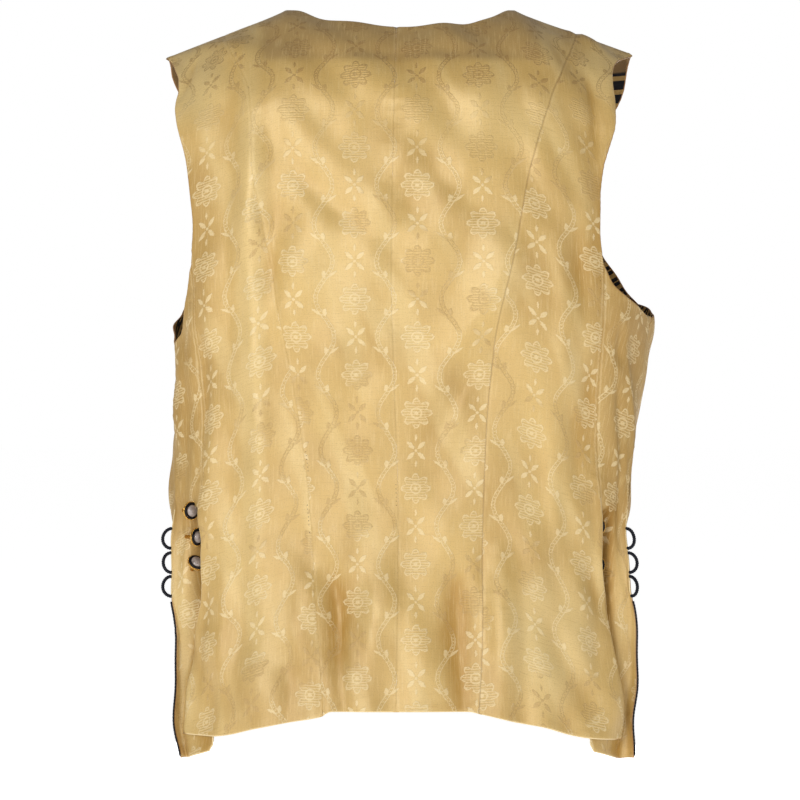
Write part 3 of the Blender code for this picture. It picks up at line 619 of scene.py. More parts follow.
def lining():
    """Black silk printed with slanting gold bars and dashed thin lines."""
    made, graph = shader("printed_silk")
    cut = graph.add("ShaderNodeUVMap", {"uv_map": "cut"})
    u, v, _ = graph.axes(cut)
    along, off = rotated(u * MM, v * MM, PRINT_TURN)
    wander = graph.noise(cut, *PRINT_NOISE) - 0.5
    across, _, height = graph.axes(graph.object_place())
    at_tip = abs(across).ramp(*TIP_SIDES)
    level = height.ramp(*TIP_PRINT) * at_tip
    off = off + (height * MM + TIP_SHIFT - off) * level + wander * PRINT_WANDER
    bars = line_mask(from_middle(off / BAR_PITCH, BAR_PITCH), BAR_HALF)
    thin = line_mask(from_middle(off / BAR_PITCH + 0.5, BAR_PITCH), THIN_HALF) * (1.0 - level)
    dashes = line_mask(from_middle(along / DASH_PITCH, DASH_PITCH), DASH_HALF)
    colour = graph.mix(bars.most(thin * dashes), PRINT_BLACK, PRINT_GOLD)
    # Tan ground at the shoulder tips: partly a tan print, partly painted shade inside the tips.
    tan_and_shade = (height - across.ramp(*LEFT_TO_RIGHT, *TIP_TAN_AND_SHADE)).ramp(-TAN_SOFTNESS, TAN_SOFTNESS)
    colour = graph.mix(tan_and_shade * at_tip, colour, TAN_PRINT_AND_SHADE)
    colour = graph.mix(graph.attribute("to_edge").ramp(*LINING_EDGE), colour, EDGE_BROWN)
    weave = (thread_wave(u, LINING_THREAD) + thread_wave(v, LINING_THREAD)) * 0.5
    sockets = {
        "Base Color": colour,
        "Roughness": 0.50 + weave * 0.10,
        "Normal": graph.bump(weave, *LINING_BUMP),
        "Specular IOR Level": 0.30,
    }
    finish_shader(graph, sockets)
    return made


def small_look(name, grain, change, colours, roughness, bump, sockets):
    """The look of a trim: fine noise takes it from one colour to the other, roughens it and raises it."""
    made, graph = shader(name)
    noise = graph.noise(graph.object_place(), *grain)
    least, added = roughness
    given = {
        "Base Color": graph.mix(noise.ramp(*change) if change else noise, *colours),
        "Roughness": least + noise * added,
    }
    if bump:
        given["Normal"] = graph.bump(noise, *bump)
    finish_shader(graph, {**given, **sockets})
    return made


# The trims' looks: the noise's scale and detail, where on it the first colour goes over to the second,
# the two colours, the least roughness and what the noise adds, and the bump's distance and strength.
CORD = {
    "grain": (2200.0, 3.0),
    "change": (0.35, 0.75),
    "colours": ((0.002, 0.002, 0.004), (0.010, 0.013, 0.028)),
    "roughness": (0.50, 0.2),
    "bump": (0.0001, 0.6),
    "sockets": {"Specular IOR Level": 0.25},
}
GILT = {
    "grain": (900.0, 4.0),
    "change": (0.40, 0.72),
    "colours": ((0.90, 0.56, 0.14), (0.62, 0.30, 0.06)),
    "roughness": (0.16, 0.18),
    "bump": (0.00004, 0.5),
    "sockets": {"Metallic": 1.0},
}
ENAMEL = {
    "grain": (1500.0, 2.0),
    "change": (0.5, 0.8),
    "colours": ((0.004, 0.004, 0.006), (0.016, 0.015, 0.018)),
    "roughness": (0.24, 0.10),
    "bump": None,
    "sockets": {"Specular IOR Level": 0.20},
}
STONE = {
    "grain": (330.0, 2.0),
    "change": (0.35, 0.70),
    "colours": ((0.250, 0.195, 0.165), (0.400, 0.330, 0.295)),
    "roughness": (0.14, 0.10),
    "bump": None,
    "sockets": {"Coat Weight": 0.6, "Specular IOR Level": 0.7},
}
THREAD = {
    "grain": (2600.0, 2.0),
    "change": (0.3, 0.7),
    "colours": ((0.42, 0.24, 0.07), (0.66, 0.44, 0.16)),
    "roughness": (0.45, 0.2),
    "bump": (0.00008, 0.6),
    "sockets": {},
}
NEEDLE_HOLE = {
    "grain": (900.0, 2.0),
    "change": None,
    "colours": ((0.050, 0.022, 0.008), (0.110, 0.050, 0.016)),
    "roughness": (0.8, 0.1),
    "bump": None,
    "sockets": {},
}
materials = {
    "silk": silk(),
    "lining": lining(),
    "cord": small_look("black_cord", **CORD),
    "gilt": small_look("gilt", **GILT),
    "enamel": small_look("black_enamel", **ENAMEL),
    "pearl": small_look("pearl", **STONE),
    "thread": small_look("sewing_thread", **THREAD),
    "needle_mark": small_look("needle_mark", **NEEDLE_HOLE),
}


def table(names, *rows):
    """A table whose columns are read by name."""
    return dict(zip(names.split(), np.array(rows, float).T))


# Half widths and depths of the garment at each height, as filled out on a general figure.
FORM = table(
    "height left right back front",
    (0.020, 0.2200, 0.2200, 0.098, 0.092),
    (-0.050, 0.2200, 0.2210, 0.106, 0.100),
    (-0.100, 0.2190, 0.2230, 0.112, 0.108),
    (-0.150, 0.2150, 0.2255, 0.117, 0.118),
    (-0.200, 0.2110, 0.2275, 0.118, 0.126),
    (-0.277, 0.2060, 0.2275, 0.113, 0.130),
    (-0.310, 0.2025, 0.2216, 0.109, 0.127),
    (-0.350, 0.2020, 0.2165, 0.104, 0.121),
    (-0.400, 0.2040, 0.2110, 0.099, 0.112),
    (-0.450, 0.2062, 0.2066, 0.098, 0.109),
    (-0.500, 0.2050, 0.2045, 0.101, 0.111),
    (-0.560, 0.1990, 0.2070, 0.107, 0.116),
    (-0.610, 0.1985, 0.2085, 0.112, 0.120),
    (-0.700, 0.1985, 0.2080, 0.118, 0.125),
)

# Across the back: the centre seam's place, then how far out each princess seam is.
CENTRE_SEAM = table(
    "height x",
    (0.0, -0.0025),
    (-0.10, -0.0055),
    (-0.25, -0.0075),
    (-0.33, -0.0052),
    (-0.46, -0.0015),
    (-0.66, -0.0040),
)
PRINCESS_SEAM = table(
    "height left right",
    (0.0, 0.1620, 0.1620),
    (-0.0213, 0.1580, 0.1580),
    (-0.0855, 0.1308, 0.1318),
    (-0.1460, 0.1265, 0.1140),
    (-0.2100, 0.1176, 0.1015),
    (-0.2900, 0.1030, 0.0844),
    (-0.4010, 0.0835, 0.0740),
    (-0.4550, 0.0783, 0.0727),
    (-0.5500, 0.0722, 0.0722),
    (-0.6600, 0.0650, 0.0665),
)

# The back's outer line: armhole, side-back seam from -0.229, free edge of the vent from -0.4424.
BACK_EDGE = table(
    "height left right",
    (-0.0400, 0.2110, 0.2093),
    (-0.0465, 0.2062, 0.1964),
    (-0.0550, 0.2020, 0.1893),
    (-0.0650, 0.1978, 0.1874),
    (-0.0760, 0.1972, 0.1878),
    (-0.0860, 0.1984, 0.1892),
    (-0.1030, 0.1962, 0.1893),
    (-0.1450, 0.1876, 0.1807),
    (-0.1730, 0.1840, 0.1787),
    (-0.2000, 0.1830, 0.1787),
    (-0.2290, 0.1830, 0.1806),
    (-0.3000, 0.1800, 0.1786),
    (-0.3700, 0.1760, 0.1762),
    (-0.4200, 0.1742, 0.1756),
    (-0.4424, 0.1764, 0.1764),
    (-0.4560, 0.1772, 0.1779),
    (-0.4740, 0.1758, 0.1790),
    (-0.4900, 0.1766, 0.1792),
    (-0.5080, 0.1765, 0.1814),
    (-0.5240, 0.1778, 0.1843),
    (-0.5420, 0.1800, 0.1862),
    (-0.5790, 0.1850, 0.1905),
    (-0.6150, 0.1890, 0.1955),
    (-0.6520, 0.1910, 0.1982),
)
SIDE_SEAM_TOP = -0.2290
BACK_CORNER = {"left": -0.6465, "right": -0.6509}

# The back's hem and neckline, from the left to the right.
BACK_HEM = table(
    "x height",
    (-0.1915, -0.6465),
    (-0.1680, -0.6462),
    (-0.1220, -0.6366),
    (-0.0960, -0.6310),
    (-0.0700, -0.6262),
    (-0.0600, -0.6215),
    (0.0600, -0.6215),
    (0.0700, -0.6236),
    (0.0957, -0.6300),
    (0.1247, -0.6360),
    (0.1658, -0.6473),
    (0.1985, -0.6512),
)
BACK_NECK = table(
    "x height",
    (-0.1020, -0.0006),
    (-0.0890, -0.0032),
    (-0.0630, -0.0128),
    (-0.0380, -0.0163),
    (0.0, -0.0190),
    (0.0275, -0.0194),
    (0.0524, -0.0163),
    (0.0776, -0.0102),
    (0.1020, -0.0006),
)

# Foot of the armhole, from the side-back seam round to the widest place under the arm.
UNDERARM = {
    "left": table(
        "x height",
        (0.1830, -0.2290),
        (0.1880, -0.2440),
        (0.1912, -0.2616),
        (0.1926, -0.2713),
        (0.1938, -0.2800),
        (0.1966, -0.2915),
        (0.2008, -0.2985),
    ),
    "right": table(
        "x height",
        (0.1806, -0.2290),
        (0.1828, -0.2350),
        (0.1880, -0.2480),
        (0.1976, -0.2575),
        (0.2120, -0.2668),
        (0.2240, -0.2755),
    ),
}
# The front's armhole, from under the arm up to the shoulder tip.
FRONT_ARMHOLE = {
    "left": table(
        "height x",
        (-0.2800, 0.2047),
        (-0.2685, 0.1996),
        (-0.2581, 0.1945),
        (-0.2400, 0.1850),
        (-0.2200, 0.1790),
        (-0.2000, 0.1750),
        (-0.1700, 0.1730),
        (-0.1300, 0.1790),
        (-0.1000, 0.1880),
        (-0.0850, 0.1945),
        (-0.0700, 0.2025),
        (-0.0611, 0.2065),
        (-0.0541, 0.2085),
        (-0.0400, 0.2093),
    ),
    "right": table(
        "height x",
        (-0.2620, 0.2180),
        (-0.2495, 0.2092),
        (-0.2350, 0.2010),
        (-0.2100, 0.1866),
        (-0.1700, 0.1745),
        (-0.1300, 0.1800),
        (-0.1000, 0.1905),
        (-0.0700, 0.2030),
        (-0.0400, 0.2088),
    ),
}
# The front's V neck and opening edge, and its hem by the share of the way from the slit to the opening.
OPENING = table(
    "height x",
    (0.0, 0.1020),
    (-0.0600, 0.0890),
    (-0.1400, 0.0640),
    (-0.2200, 0.0350),
    (-0.2800, 0.0140),
    (-0.3200, 0.0090),
    (-0.5000, 0.0110),
    (-0.6600, 0.0150),
)
FRONT_HEM = table("share height", (0.0, -0.6540), (0.4, -0.6490), (0.8, -0.6400), (1.0, -0.6360))

# Tail of the side panel below the vent: where the underlap ends, and the outer edge's place.
TAIL_INNER_X = {"left": 0.1695, "right": 0.1690}
TAIL_FOOT_INNER = -0.6596
TAIL_FOOT_OUTER = -0.6680
CORNER_CUT = 0.006
TAIL_EDGE = table(
    "height left right",
    (-0.4520, 0.2025, 0.2028),
    (-0.4700, 0.2028, 0.2010),
    (-0.5150, 0.2026, 0.2017),
    (-0.5450, 0.1996, 0.2072),
    (-0.5800, 0.1990, 0.2105),
    (-0.6050, 0.1990, 0.2110),
    (-0.6400, 0.1985, 0.2092),
    (-0.6680, 0.1955, 0.2068),
)
TAIL_EDGE_Y = -0.046
# How deep the tail lies under the back, beside the vent's edge: deepest where the buttons sit.
TROUGH = table(
    "height depth",
    (-0.4050, 0.0),
    (-0.4424, 0.0024),
    (-0.4540, 0.0110),
    (-0.4640, 0.0150),
    (-0.5060, 0.0150),
    (-0.5450, 0.0090),
    (-0.6000, 0.0050),
    (-0.7000, 0.0045),
)
TROUGH_FLOOR = 0.005
TROUGH_REACH = 0.023
# The tail turns out to its edge: over these heights, and from beside the vent to past the edge.
TAIL_SPAN = (-0.38, -0.70)
TAIL_SECTIONS = 33
FLARE_HEIGHTS = (SLIT_TOP - 0.004, SLIT_TOP + 0.090)
FLARE_START = 0.008
FLARE_END = 1.2

# Folds: a soft ridge (raised above 0) or trough along a line, with places across (x) and heights.
FOLDS = {
    "back": table(
        "top_x top bottom_x bottom half_width raised",
        (-0.064, -0.455, -0.043, -0.670, 0.0100, -0.0060),
        (-0.022, -0.480, -0.026, -0.680, 0.0110, 0.0040),
        (0.046, -0.440, 0.056, -0.680, 0.0150, -0.0060),
        (0.088, -0.450, 0.090, -0.680, 0.0110, 0.0045),
        (-0.123, -0.030, -0.122, -0.370, 0.0100, 0.0035),
        (-0.140, -0.470, -0.150, -0.690, 0.0130, -0.0030),
        (0.166, -0.050, 0.164, -0.440, 0.0130, -0.0040),
        (0.140, -0.440, 0.150, -0.690, 0.0140, -0.0030),
    ),
    "front": table(
        "top_x top bottom_x bottom half_width raised",
        (0.150, -0.300, 0.128, -0.690, 0.0150, -0.0050),
        (0.086, -0.330, 0.074, -0.690, 0.0140, -0.0045),
        (-0.120, -0.280, -0.104, -0.690, 0.0160, -0.0055),
        (-0.058, -0.400, -0.050, -0.690, 0.0130, 0.0040),
        (0.142, -0.050, 0.100, -0.260, 0.0130, 0.0040),
        (-0.148, -0.060, -0.116, -0.280, 0.0130, 0.0045),
    ),
}

# Buttons: where the shank stands, how far the face is turned from straight back to the right and
# tilted upwards (degrees), and the shank's length.
BUTTONS = {
    "left": table(
        "x height turn tilt shank",
        (-0.1994, -0.4480, 39.0, 0.0, 0.0108),
        (-0.1993, -0.4713, 53.0, 0.0, 0.0118),
        (-0.1884, -0.5020, 34.0, 40.0, 0.0088),
    ),
    "right": table(
        "x height turn tilt shank",
        (0.1806, -0.4620, 14.0, 0.0, 0.0058),
        (0.1801, -0.4758, 22.0, 0.0, 0.0030),
        (0.1842, -0.4952, 16.0, -8.0, 0.0034),
    ),
}
SIGN = {"left": -1, "right": 1}


def curve(columns, along, value, at):
    """A column's values as a smooth line through a table's rows, which never overshoots them."""
    order = np.argsort(columns[along])
    x, y = columns[along][order], columns[value][order]
    at = np.clip(np.asarray(at, float), x[0], x[-1])
    run = np.diff(x)
    slope = np.diff(y) / run
    tangent = np.zeros_like(x)
    tangent[0], tangent[-1] = slope[0], slope[-1]
    before, after = slope[:-1], slope[1:]
    same = before * after > 0
    tangent[1:-1][same] = 2 * before[same] * after[same] / (before + after)[same]
    i = np.clip(np.searchsorted(x, at) - 1, 0, len(run) - 1)
    t = (at - x[i]) / run[i]
    left = y[i] * (1 + 2 * t) * (1 - t) ** 2 + tangent[i] * run[i] * t * (1 - t) ** 2
    right = y[i + 1] * t * t * (3 - 2 * t) + tangent[i + 1] * run[i] * t * t * (t - 1)
    return left + right


def at_height(columns, value, height):
    return float(curve(columns, "height", value, height))


def ease(x, start, end):
    """0 before start, 1 past end, smooth between."""
    t = np.clip((np.asarray(x, float) - start) / (end - start), 0, 1)
    return t * t * (3 - 2 * t)


class Form:
    """The filled-out shape that the cloth lies on, as half sections at many heights."""

    LAST = 0.99999
    SAMPLES = 241
    SECTIONS = 145
    FINE = 1441

    def __init__(self):
        self.heights = np.linspace(TOP, BOTTOM, self.SECTIONS)
        self.x, self.y = {}, {}
        for side in SIGN:
            halves = [self.half_section(side, height) for height in self.heights]
            self.x[side] = np.array([h[0] for h in halves])
            self.y[side] = np.array([h[1] for h in halves])

    def half_section(self, side, height):
        width, back, front = (at_height(FORM, column, height) for column in (side, "back", "front"))
        angle = np.linspace(0, math.pi, self.FINE)
        x = width * np.sin(angle).clip(0) ** (2 / SQUARENESS)
        depth = np.where(angle < math.pi / 2, -back, front)
        y = depth * np.abs(np.cos(angle)) ** (2 / SQUARENESS)
        length = np.concatenate([[0], np.cumsum(np.hypot(np.diff(x), np.diff(y)))])
        even = np.linspace(0, length[-1], self.SAMPLES)
        return np.interp(even, length, x), np.interp(even, length, y)

    def at(self, around, height):
        """x and y of the section, where around runs from 0 at the back to -1 or 1 at the front."""
        around, height = np.broadcast_arrays(np.asarray(around, float), np.asarray(height, float))
        row = np.clip((TOP - height) / (TOP - BOTTOM), 0, self.LAST) * (self.SECTIONS - 1)
        column = np.clip(np.abs(around), 0, self.LAST) * (self.SAMPLES - 1)
        r, c = row.astype(int), column.astype(int)
        row_share, column_share = row - r, column - c
        found = {}
        for side in SIGN:
            for name, grid in (("x", self.x[side]), ("y", self.y[side])):
                upper = grid[r, c] * (1 - column_share) + grid[r, c + 1] * column_share
                lower = grid[r + 1, c] * (1 - column_share) + grid[r + 1, c + 1] * column_share
                found[side, name] = upper * (1 - row_share) + lower * row_share
        x = np.where(around < 0, -found["left", "x"], found["right", "x"])
        y = np.where(around < 0, found["left", "y"], found["right", "y"])
        return x, y

    def row(self, side, height):
        i = int(round((TOP - height) / (TOP - BOTTOM) * (self.SECTIONS - 1)))
        return self.x[side][min(max(i, 0), self.SECTIONS - 1)]

    def widest(self, side, height):
        """How far round the widest place is, from 0 at the back to 1 at the front."""
        return np.argmax(self.row(side, height)) / (self.SAMPLES - 1)

    def around(self, x, height, face):
        """How far round the place is that lies at x on the back or on the front."""
        side = "left" if x < 0 else "right"
        row = self.row(side, height)
        widest = int(np.argmax(row))
        share = np.linspace(0, 1, self.SAMPLES)
        if face == "back":
            found = np.interp(abs(x), row[: widest + 1], share[: widest + 1])
        else:
            found = np.interp(abs(x), row[widest:][::-1], share[widest:][::-1])
        return SIGN[side] * float(found)


form = Form()
CAP_LENGTH = math.pi / 2 * math.sqrt((CAP_HEIGHT**2 + CAP_DEPTH**2) / 2)
TOP_ROW = {side: form.row(side, 0.0) for side in SIGN}


def ridge(around):
    """Height of the shoulder line above a place round the form: level at the neck, then sloping out."""
    around = np.asarray(around, float)
    share = np.linspace(0, 1, Form.SAMPLES)
    left = np.interp(np.abs(around), share, TOP_ROW["left"])
    right = np.interp(np.abs(around), share, TOP_ROW["right"])
    x = np.where(around < 0, left, right)
    slope = np.where(around < 0, SHOULDER_SLOPE["left"], SHOULDER_SLOPE["right"])
    return -slope * (np.clip(x, NECK_HALF_WIDTH, SHOULDER_HALF_WIDTH) - NECK_HALF_WIDTH)


def drop(down):
    """How far below the shoulder line a length down the cloth reaches."""
    down = np.asarray(down, float)
    turn = np.clip(down / CAP_LENGTH, 0, 1) * math.pi / 2
    return CAP_HEIGHT * (1 - np.cos(turn)) + np.clip(down - CAP_LENGTH, 0, None)


def down_at(fall):
    """The length down the cloth that reaches so far below the shoulder line."""
    if fall >= CAP_HEIGHT:
        return CAP_LENGTH + fall - CAP_HEIGHT
    return math.acos(1 - max(fall, 0) / CAP_HEIGHT) / (math.pi / 2) * CAP_LENGTH


def flat(x, height, face):
    """The place in the cutting plane of a point that is seen at x on the back or the front."""
    around = form.around(x, height, face)
    for _ in range(FLAT_TRIES):
        down = down_at(float(ridge(around)) - height)
        around = form.around(x, float(ridge(around) - drop(down)), face)
    return np.array([around * HALF_GIRTH, down_at(float(ridge(around)) - height)])


def flat_round(around, height):
    """The place in the cutting plane of a point so far round the form."""
    return np.array([around * HALF_GIRTH, down_at(float(ridge(around)) - height)])


def smooth_form(round_, down):
    """The place in space of a place in the cutting plane, with no folds."""
    around = round_ / HALF_GIRTH
    height = ridge(around) - drop(down)
    x, y = form.at(around, height)
    y = y * np.sin(np.clip(down / CAP_LENGTH, 0, 1) * math.pi / 2)
    return np.stack([x, y, height], axis=-1)


def normals(surface, round_, down):
    """Directions straight off a surface at places in its cutting plane."""
    above = np.clip(down - NORMAL_STEP, 0.0, None)
    across = surface(round_ + NORMAL_STEP, down) - surface(round_ - NORMAL_STEP, down)
    along = surface(round_, down + NORMAL_STEP) - surface(round_, above)
    out = np.cross(along, across)
    return out / np.linalg.norm(out, axis=-1, keepdims=True)


# A fold fades at both ends over this share of its length, unless it runs off the hem.
FOLD_FADE = 0.3
FOLD_RUNS_OFF = -0.6
FOLD_TIP = 0.001
FOLD_LINES = []
for face_name, folds in FOLDS.items():
    for row in zip(*folds.values()):
        top_x, top, bottom_x, bottom, half_width, raised = row
        start = flat(top_x, top, face_name)[0]
        end = flat(bottom_x, bottom, face_name)[0]
        FOLD_LINES.append((start, end, top, bottom, half_width, raised))


def fold_rise(round_, height):
    """How far the cloth stands out from the form in its folds."""
    rise = np.zeros_like(round_)
    for start, end, top, bottom, half_width, raised in FOLD_LINES:
        length = top - bottom
        share = np.clip((top - height) / length, 0, 1)
        off = (round_ - start - (end - start) * share) / half_width
        begins = 1 - ease(height, top - FOLD_FADE * length, top)
        ends = 1.0
        if bottom > FOLD_RUNS_OFF:
            ends = ease(height, bottom - FOLD_TIP, bottom + FOLD_FADE * length)
        rise += raised * np.exp(-(off**2)) * begins * ends
    return rise


# Smaller folds, creases and slack: a soft ridge (raised above 0) or trough along a bowed line on a face.
CREASES = {
    "back": table(
        "start_x start end_x end half_width raised bow",
        (-0.131, -0.050, -0.126, -0.520, 0.0100, 0.0034, 0.002),
        (-0.126, -0.480, -0.112, -0.700, 0.0170, 0.0036, 0.000),
        (-0.150, -0.120, -0.152, -0.400, 0.0075, -0.0020, 0.002),
        (-0.108, -0.100, -0.106, -0.330, 0.0080, -0.0018, -0.002),
        (-0.168, -0.200, -0.170, -0.470, 0.0060, 0.0016, 0.001),
        (-0.178, -0.270, -0.178, -0.440, 0.0050, -0.0014, 0.001),
        (-0.186, -0.290, -0.184, -0.460, 0.0050, 0.0013, 0.000),
        (-0.192, -0.300, -0.192, -0.440, 0.0045, -0.0013, 0.000),
        (-0.124, -0.172, -0.118, -0.216, 0.0032, -0.0018, 0.001),
        (-0.062, -0.190, -0.058, -0.268, 0.0180, 0.0024, 0.002),
        (-0.100, -0.150, -0.020, -0.215, 0.0100, -0.0014, 0.003),
        (-0.011, -0.280, -0.014, -0.350, 0.0100, 0.0020, 0.000),
        (0.004, -0.390, 0.104, -0.226, 0.0100, 0.0030, 0.004),
        (0.020, -0.402, 0.112, -0.262, 0.0075, -0.0024, 0.004),
        (0.040, -0.400, 0.084, -0.290, 0.0080, 0.0022, 0.002),
        (0.066, -0.190, 0.100, -0.275, 0.0150, 0.0024, 0.000),
        (0.030, -0.150, 0.090, -0.210, 0.0110, -0.0015, 0.002),
        (0.155, -0.180, 0.158, -0.330, 0.0080, -0.0032, 0.001),
        (0.137, -0.200, 0.140, -0.330, 0.0070, 0.0022, 0.001),
        (0.150, -0.345, 0.158, -0.440, 0.0100, -0.0030, 0.002),
        (0.130, -0.370, 0.139, -0.480, 0.0080, 0.0024, 0.001),
        (0.166, -0.058, 0.173, -0.132, 0.0055, -0.0034, 0.003),
        (0.180, -0.050, 0.186, -0.120, 0.0055, 0.0022, 0.002),
        (0.170, -0.390, 0.178, -0.560, 0.0050, -0.0016, 0.002),
        (0.164, -0.420, 0.176, -0.600, 0.0070, -0.0016, 0.002),
        (0.120, -0.480, 0.124, -0.720, 0.0110, 0.0018, 0.002),
        (0.108, -0.500, 0.104, -0.720, 0.0070, -0.0016, 0.001),
        (0.070, -0.440, 0.078, -0.600, 0.0060, -0.0012, 0.001),
        (0.046, -0.470, 0.062, -0.640, 0.0110, -0.0010, -0.002),
        (0.014, -0.450, 0.018, -0.720, 0.0110, 0.0012, 0.001),
        (0.002, -0.500, 0.000, -0.640, 0.0060, -0.0010, 0.000),
        (-0.076, -0.470, -0.046, -0.720, 0.0110, -0.0012, 0.003),
        (-0.048, -0.520, -0.036, -0.720, 0.0055, 0.0018, 0.001),
        (-0.088, -0.500, -0.082, -0.720, 0.0090, 0.0014, -0.001),
        (-0.100, -0.540, -0.098, -0.720, 0.0060, -0.0012, 0.001),
        (-0.156, -0.520, -0.166, -0.720, 0.0080, 0.0014, 0.001),
        (-0.170, -0.480, -0.184, -0.640, 0.0055, -0.0012, 0.001),
        (0.196, -0.284, 0.194, -0.320, 0.0050, -0.0030, 0.000),
        (0.193, -0.330, 0.196, -0.440, 0.0052, -0.0040, 0.002),
        (0.202, -0.300, 0.205, -0.440, 0.0045, 0.0026, 0.001),
        (-0.184, -0.046, -0.198, -0.090, 0.0050, -0.0022, 0.002),
        (-0.160, -0.040, -0.150, -0.110, 0.0080, -0.0012, 0.002),
        (-0.090, -0.048, 0.110, -0.046, 0.0090, -0.0016, 0.002),
        (0.118, -0.060, 0.128, -0.180, 0.0090, 0.0012, -0.002),
        (0.150, -0.140, 0.150, -0.220, 0.0080, -0.0012, 0.001),
    ),
    "front": table(
        "start_x start end_x end half_width raised bow",
        (0.160, -0.300, 0.150, -0.440, 0.0070, -0.0014, 0.003),
        (0.178, -0.250, 0.120, -0.330, 0.0090, 0.0017, 0.006),
        (0.176, -0.280, 0.110, -0.380, 0.0060, -0.0015, 0.007),
        (0.060, -0.300, 0.052, -0.520, 0.0100, 0.0014, 0.002),
        (0.110, -0.380, 0.118, -0.720, 0.0080, 0.0016, 0.002),
        (0.046, -0.450, 0.040, -0.720, 0.0080, -0.0016, 0.001),
        (0.172, -0.460, 0.168, -0.720, 0.0090, 0.0015, 0.001),
        (0.140, -0.080, 0.118, -0.180, 0.0060, -0.0012, 0.002),
        (0.162, -0.040, 0.150, -0.130, 0.0060, 0.0014, 0.001),
        (0.090, -0.120, 0.084, -0.240, 0.0090, -0.0011, 0.003),
        (0.030, -0.320, 0.022, -0.440, 0.0060, -0.0010, 0.001),
        (-0.172, -0.270, -0.116, -0.350, 0.0090, 0.0016, -0.006),
        (-0.170, -0.300, -0.106, -0.410, 0.0060, -0.0014, -0.006),
        (-0.150, -0.320, -0.146, -0.500, 0.0080, 0.0014, 0.002),
        (-0.086, -0.330, -0.078, -0.560, 0.0070, -0.0013, 0.002),
        (-0.134, -0.470, -0.136, -0.720, 0.0080, -0.0015, 0.001),
        (-0.166, -0.480, -0.164, -0.720, 0.0080, 0.0014, 0.001),
        (-0.076, -0.520, -0.072, -0.720, 0.0070, -0.0014, 0.001),
        (-0.030, -0.360, -0.026, -0.600, 0.0070, 0.0012, 0.001),
        (-0.136, -0.050, -0.124, -0.150, 0.0060, -0.0013, 0.002),
        (-0.162, -0.050, -0.156, -0.140, 0.0060, 0.0013, 0.001),
        (-0.092, -0.130, -0.080, -0.250, 0.0090, 0.0012, 0.003),
        (-0.060, -0.240, -0.110, -0.300, 0.0080, -0.0011, 0.004),
    ),
}

# Slack in the cloth: long shallow waves, too faint to count as folds.
SLACK_SEED = 11
SLACK_WAVES = 16
SLACK_LENGTHS = (0.030, 0.110)
SLACK_RISE = 0.00095
SLACK_TURN = 0.9
SHOULDER_FADE = 0.045

# A seam's groove, the puckers across it, the turned-in edge, and the soft roll of every edge.
GROOVE_DEPTH = 0.00016
GROOVE_REACH = 0.0018
PUCKER_RISE = 0.00016
PUCKER_REACH = 0.0060
PUCKER_LENGTH = 0.0085
PUCKER_STRAY = 2.2
PUCKER_STRAY_BEAT = 0.137
SECOND_PUCKER = 0.6
SECOND_PUCKER_BEAT = 0.61
SIDE_PUCKER_FROM = 0.17
SIDE_SEAM_PUCKER = 2.2
TURNING_END = (0.0048, 0.0072)
TURNING_RISE = 0.0003
ROLL_RADIUS = 0.0010
ROLL_SHARE = 0.8
SEAM_ROLL = 0.0008
ON_SEAM = 0.00001

CREASE_BEGINS = (-0.12, 0.30)
CREASE_ENDS = (0.70, 1.12)
CREASE_LINES = []
for face_name, creases in CREASES.items():
    for row in zip(*creases.values()):
        start_x, start_height, end_x, end_height, half_width, raised, bow = row
        start = flat(start_x, start_height, face_name)
        end = flat(end_x, end_height, face_name)
        CREASE_LINES.append((start, end, half_width, raised, bow))


def crease_rise(round_, down):
    """How far the cloth stands out from its larger folds in the smaller ones."""
    rise = np.zeros_like(round_)
    for start, end, half_width, raised, bow in CREASE_LINES:
        length = np.linalg.norm(end - start)
        along = (end - start) / length
        right, below = round_ - start[0], down - start[1]
        share = (right * along[0] + below * along[1]) / length
        off = right * along[1] - below * along[0] - bow * 4 * share * (1 - share)
        fade = ease(share, *CREASE_BEGINS) * (1 - ease(share, *CREASE_ENDS))
        rise += raised * np.exp(-((off / half_width) ** 2)) * fade
    return rise


def slack(round_, down):
    """Long shallow waves in every direction, the same each time."""
    chance = np.random.default_rng(SLACK_SEED)
    rise = np.zeros_like(round_)
    for _ in range(SLACK_WAVES):
        turn = chance.uniform(-SLACK_TURN, SLACK_TURN)
        length = chance.uniform(*SLACK_LENGTHS)
        phase = chance.uniform(0, math.tau)
        along = round_ * math.cos(turn) + down * math.sin(turn)
        rise += SLACK_RISE * (length / SLACK_LENGTHS[1]) * np.sin(along * math.tau / length + phase)
    return rise


def rise(round_, down, height):
    """How far the cloth stands out from the form: the smaller folds fade out at the shoulder seam."""
    smaller = crease_rise(round_, down) + slack(round_, down)
    return fold_rise(round_, height) + smaller * ease(down, 0.0, SHOULDER_FADE)


def lifted(round_, down, base, lift):
    """Places of the form moved straight off it."""
    return base + normals(smooth_form, round_, down) * lift[..., None]


def back_surface(round_, down):
    base = smooth_form(round_, down)
    return lifted(round_, down, base, rise(round_, down, base[..., 2]))


def slit_round(side, height):
    """Where the side-front seam and the slit below it run: just behind the widest place."""
    return form.widest(side, height) * HALF_GIRTH - SEAM_BEHIND_WIDEST


def front_surface(side):
    """The front, whose rear edge is tucked in behind the tail below the top of the slit."""
    slit = slit_round(side, TUCK_MIDDLE)

    def surface(round_, down):
        base = smooth_form(round_, down)
        height = base[..., 2]
        tuck = SLIT_TUCK * (1 - ease(height, *TUCK_HEIGHTS))
        tuck = tuck * (1 - ease(np.abs(round_) - slit, TUCK_START, TUCK_REACH))
        return lifted(round_, down, base, rise(round_, down, height) - tuck)

    return surface


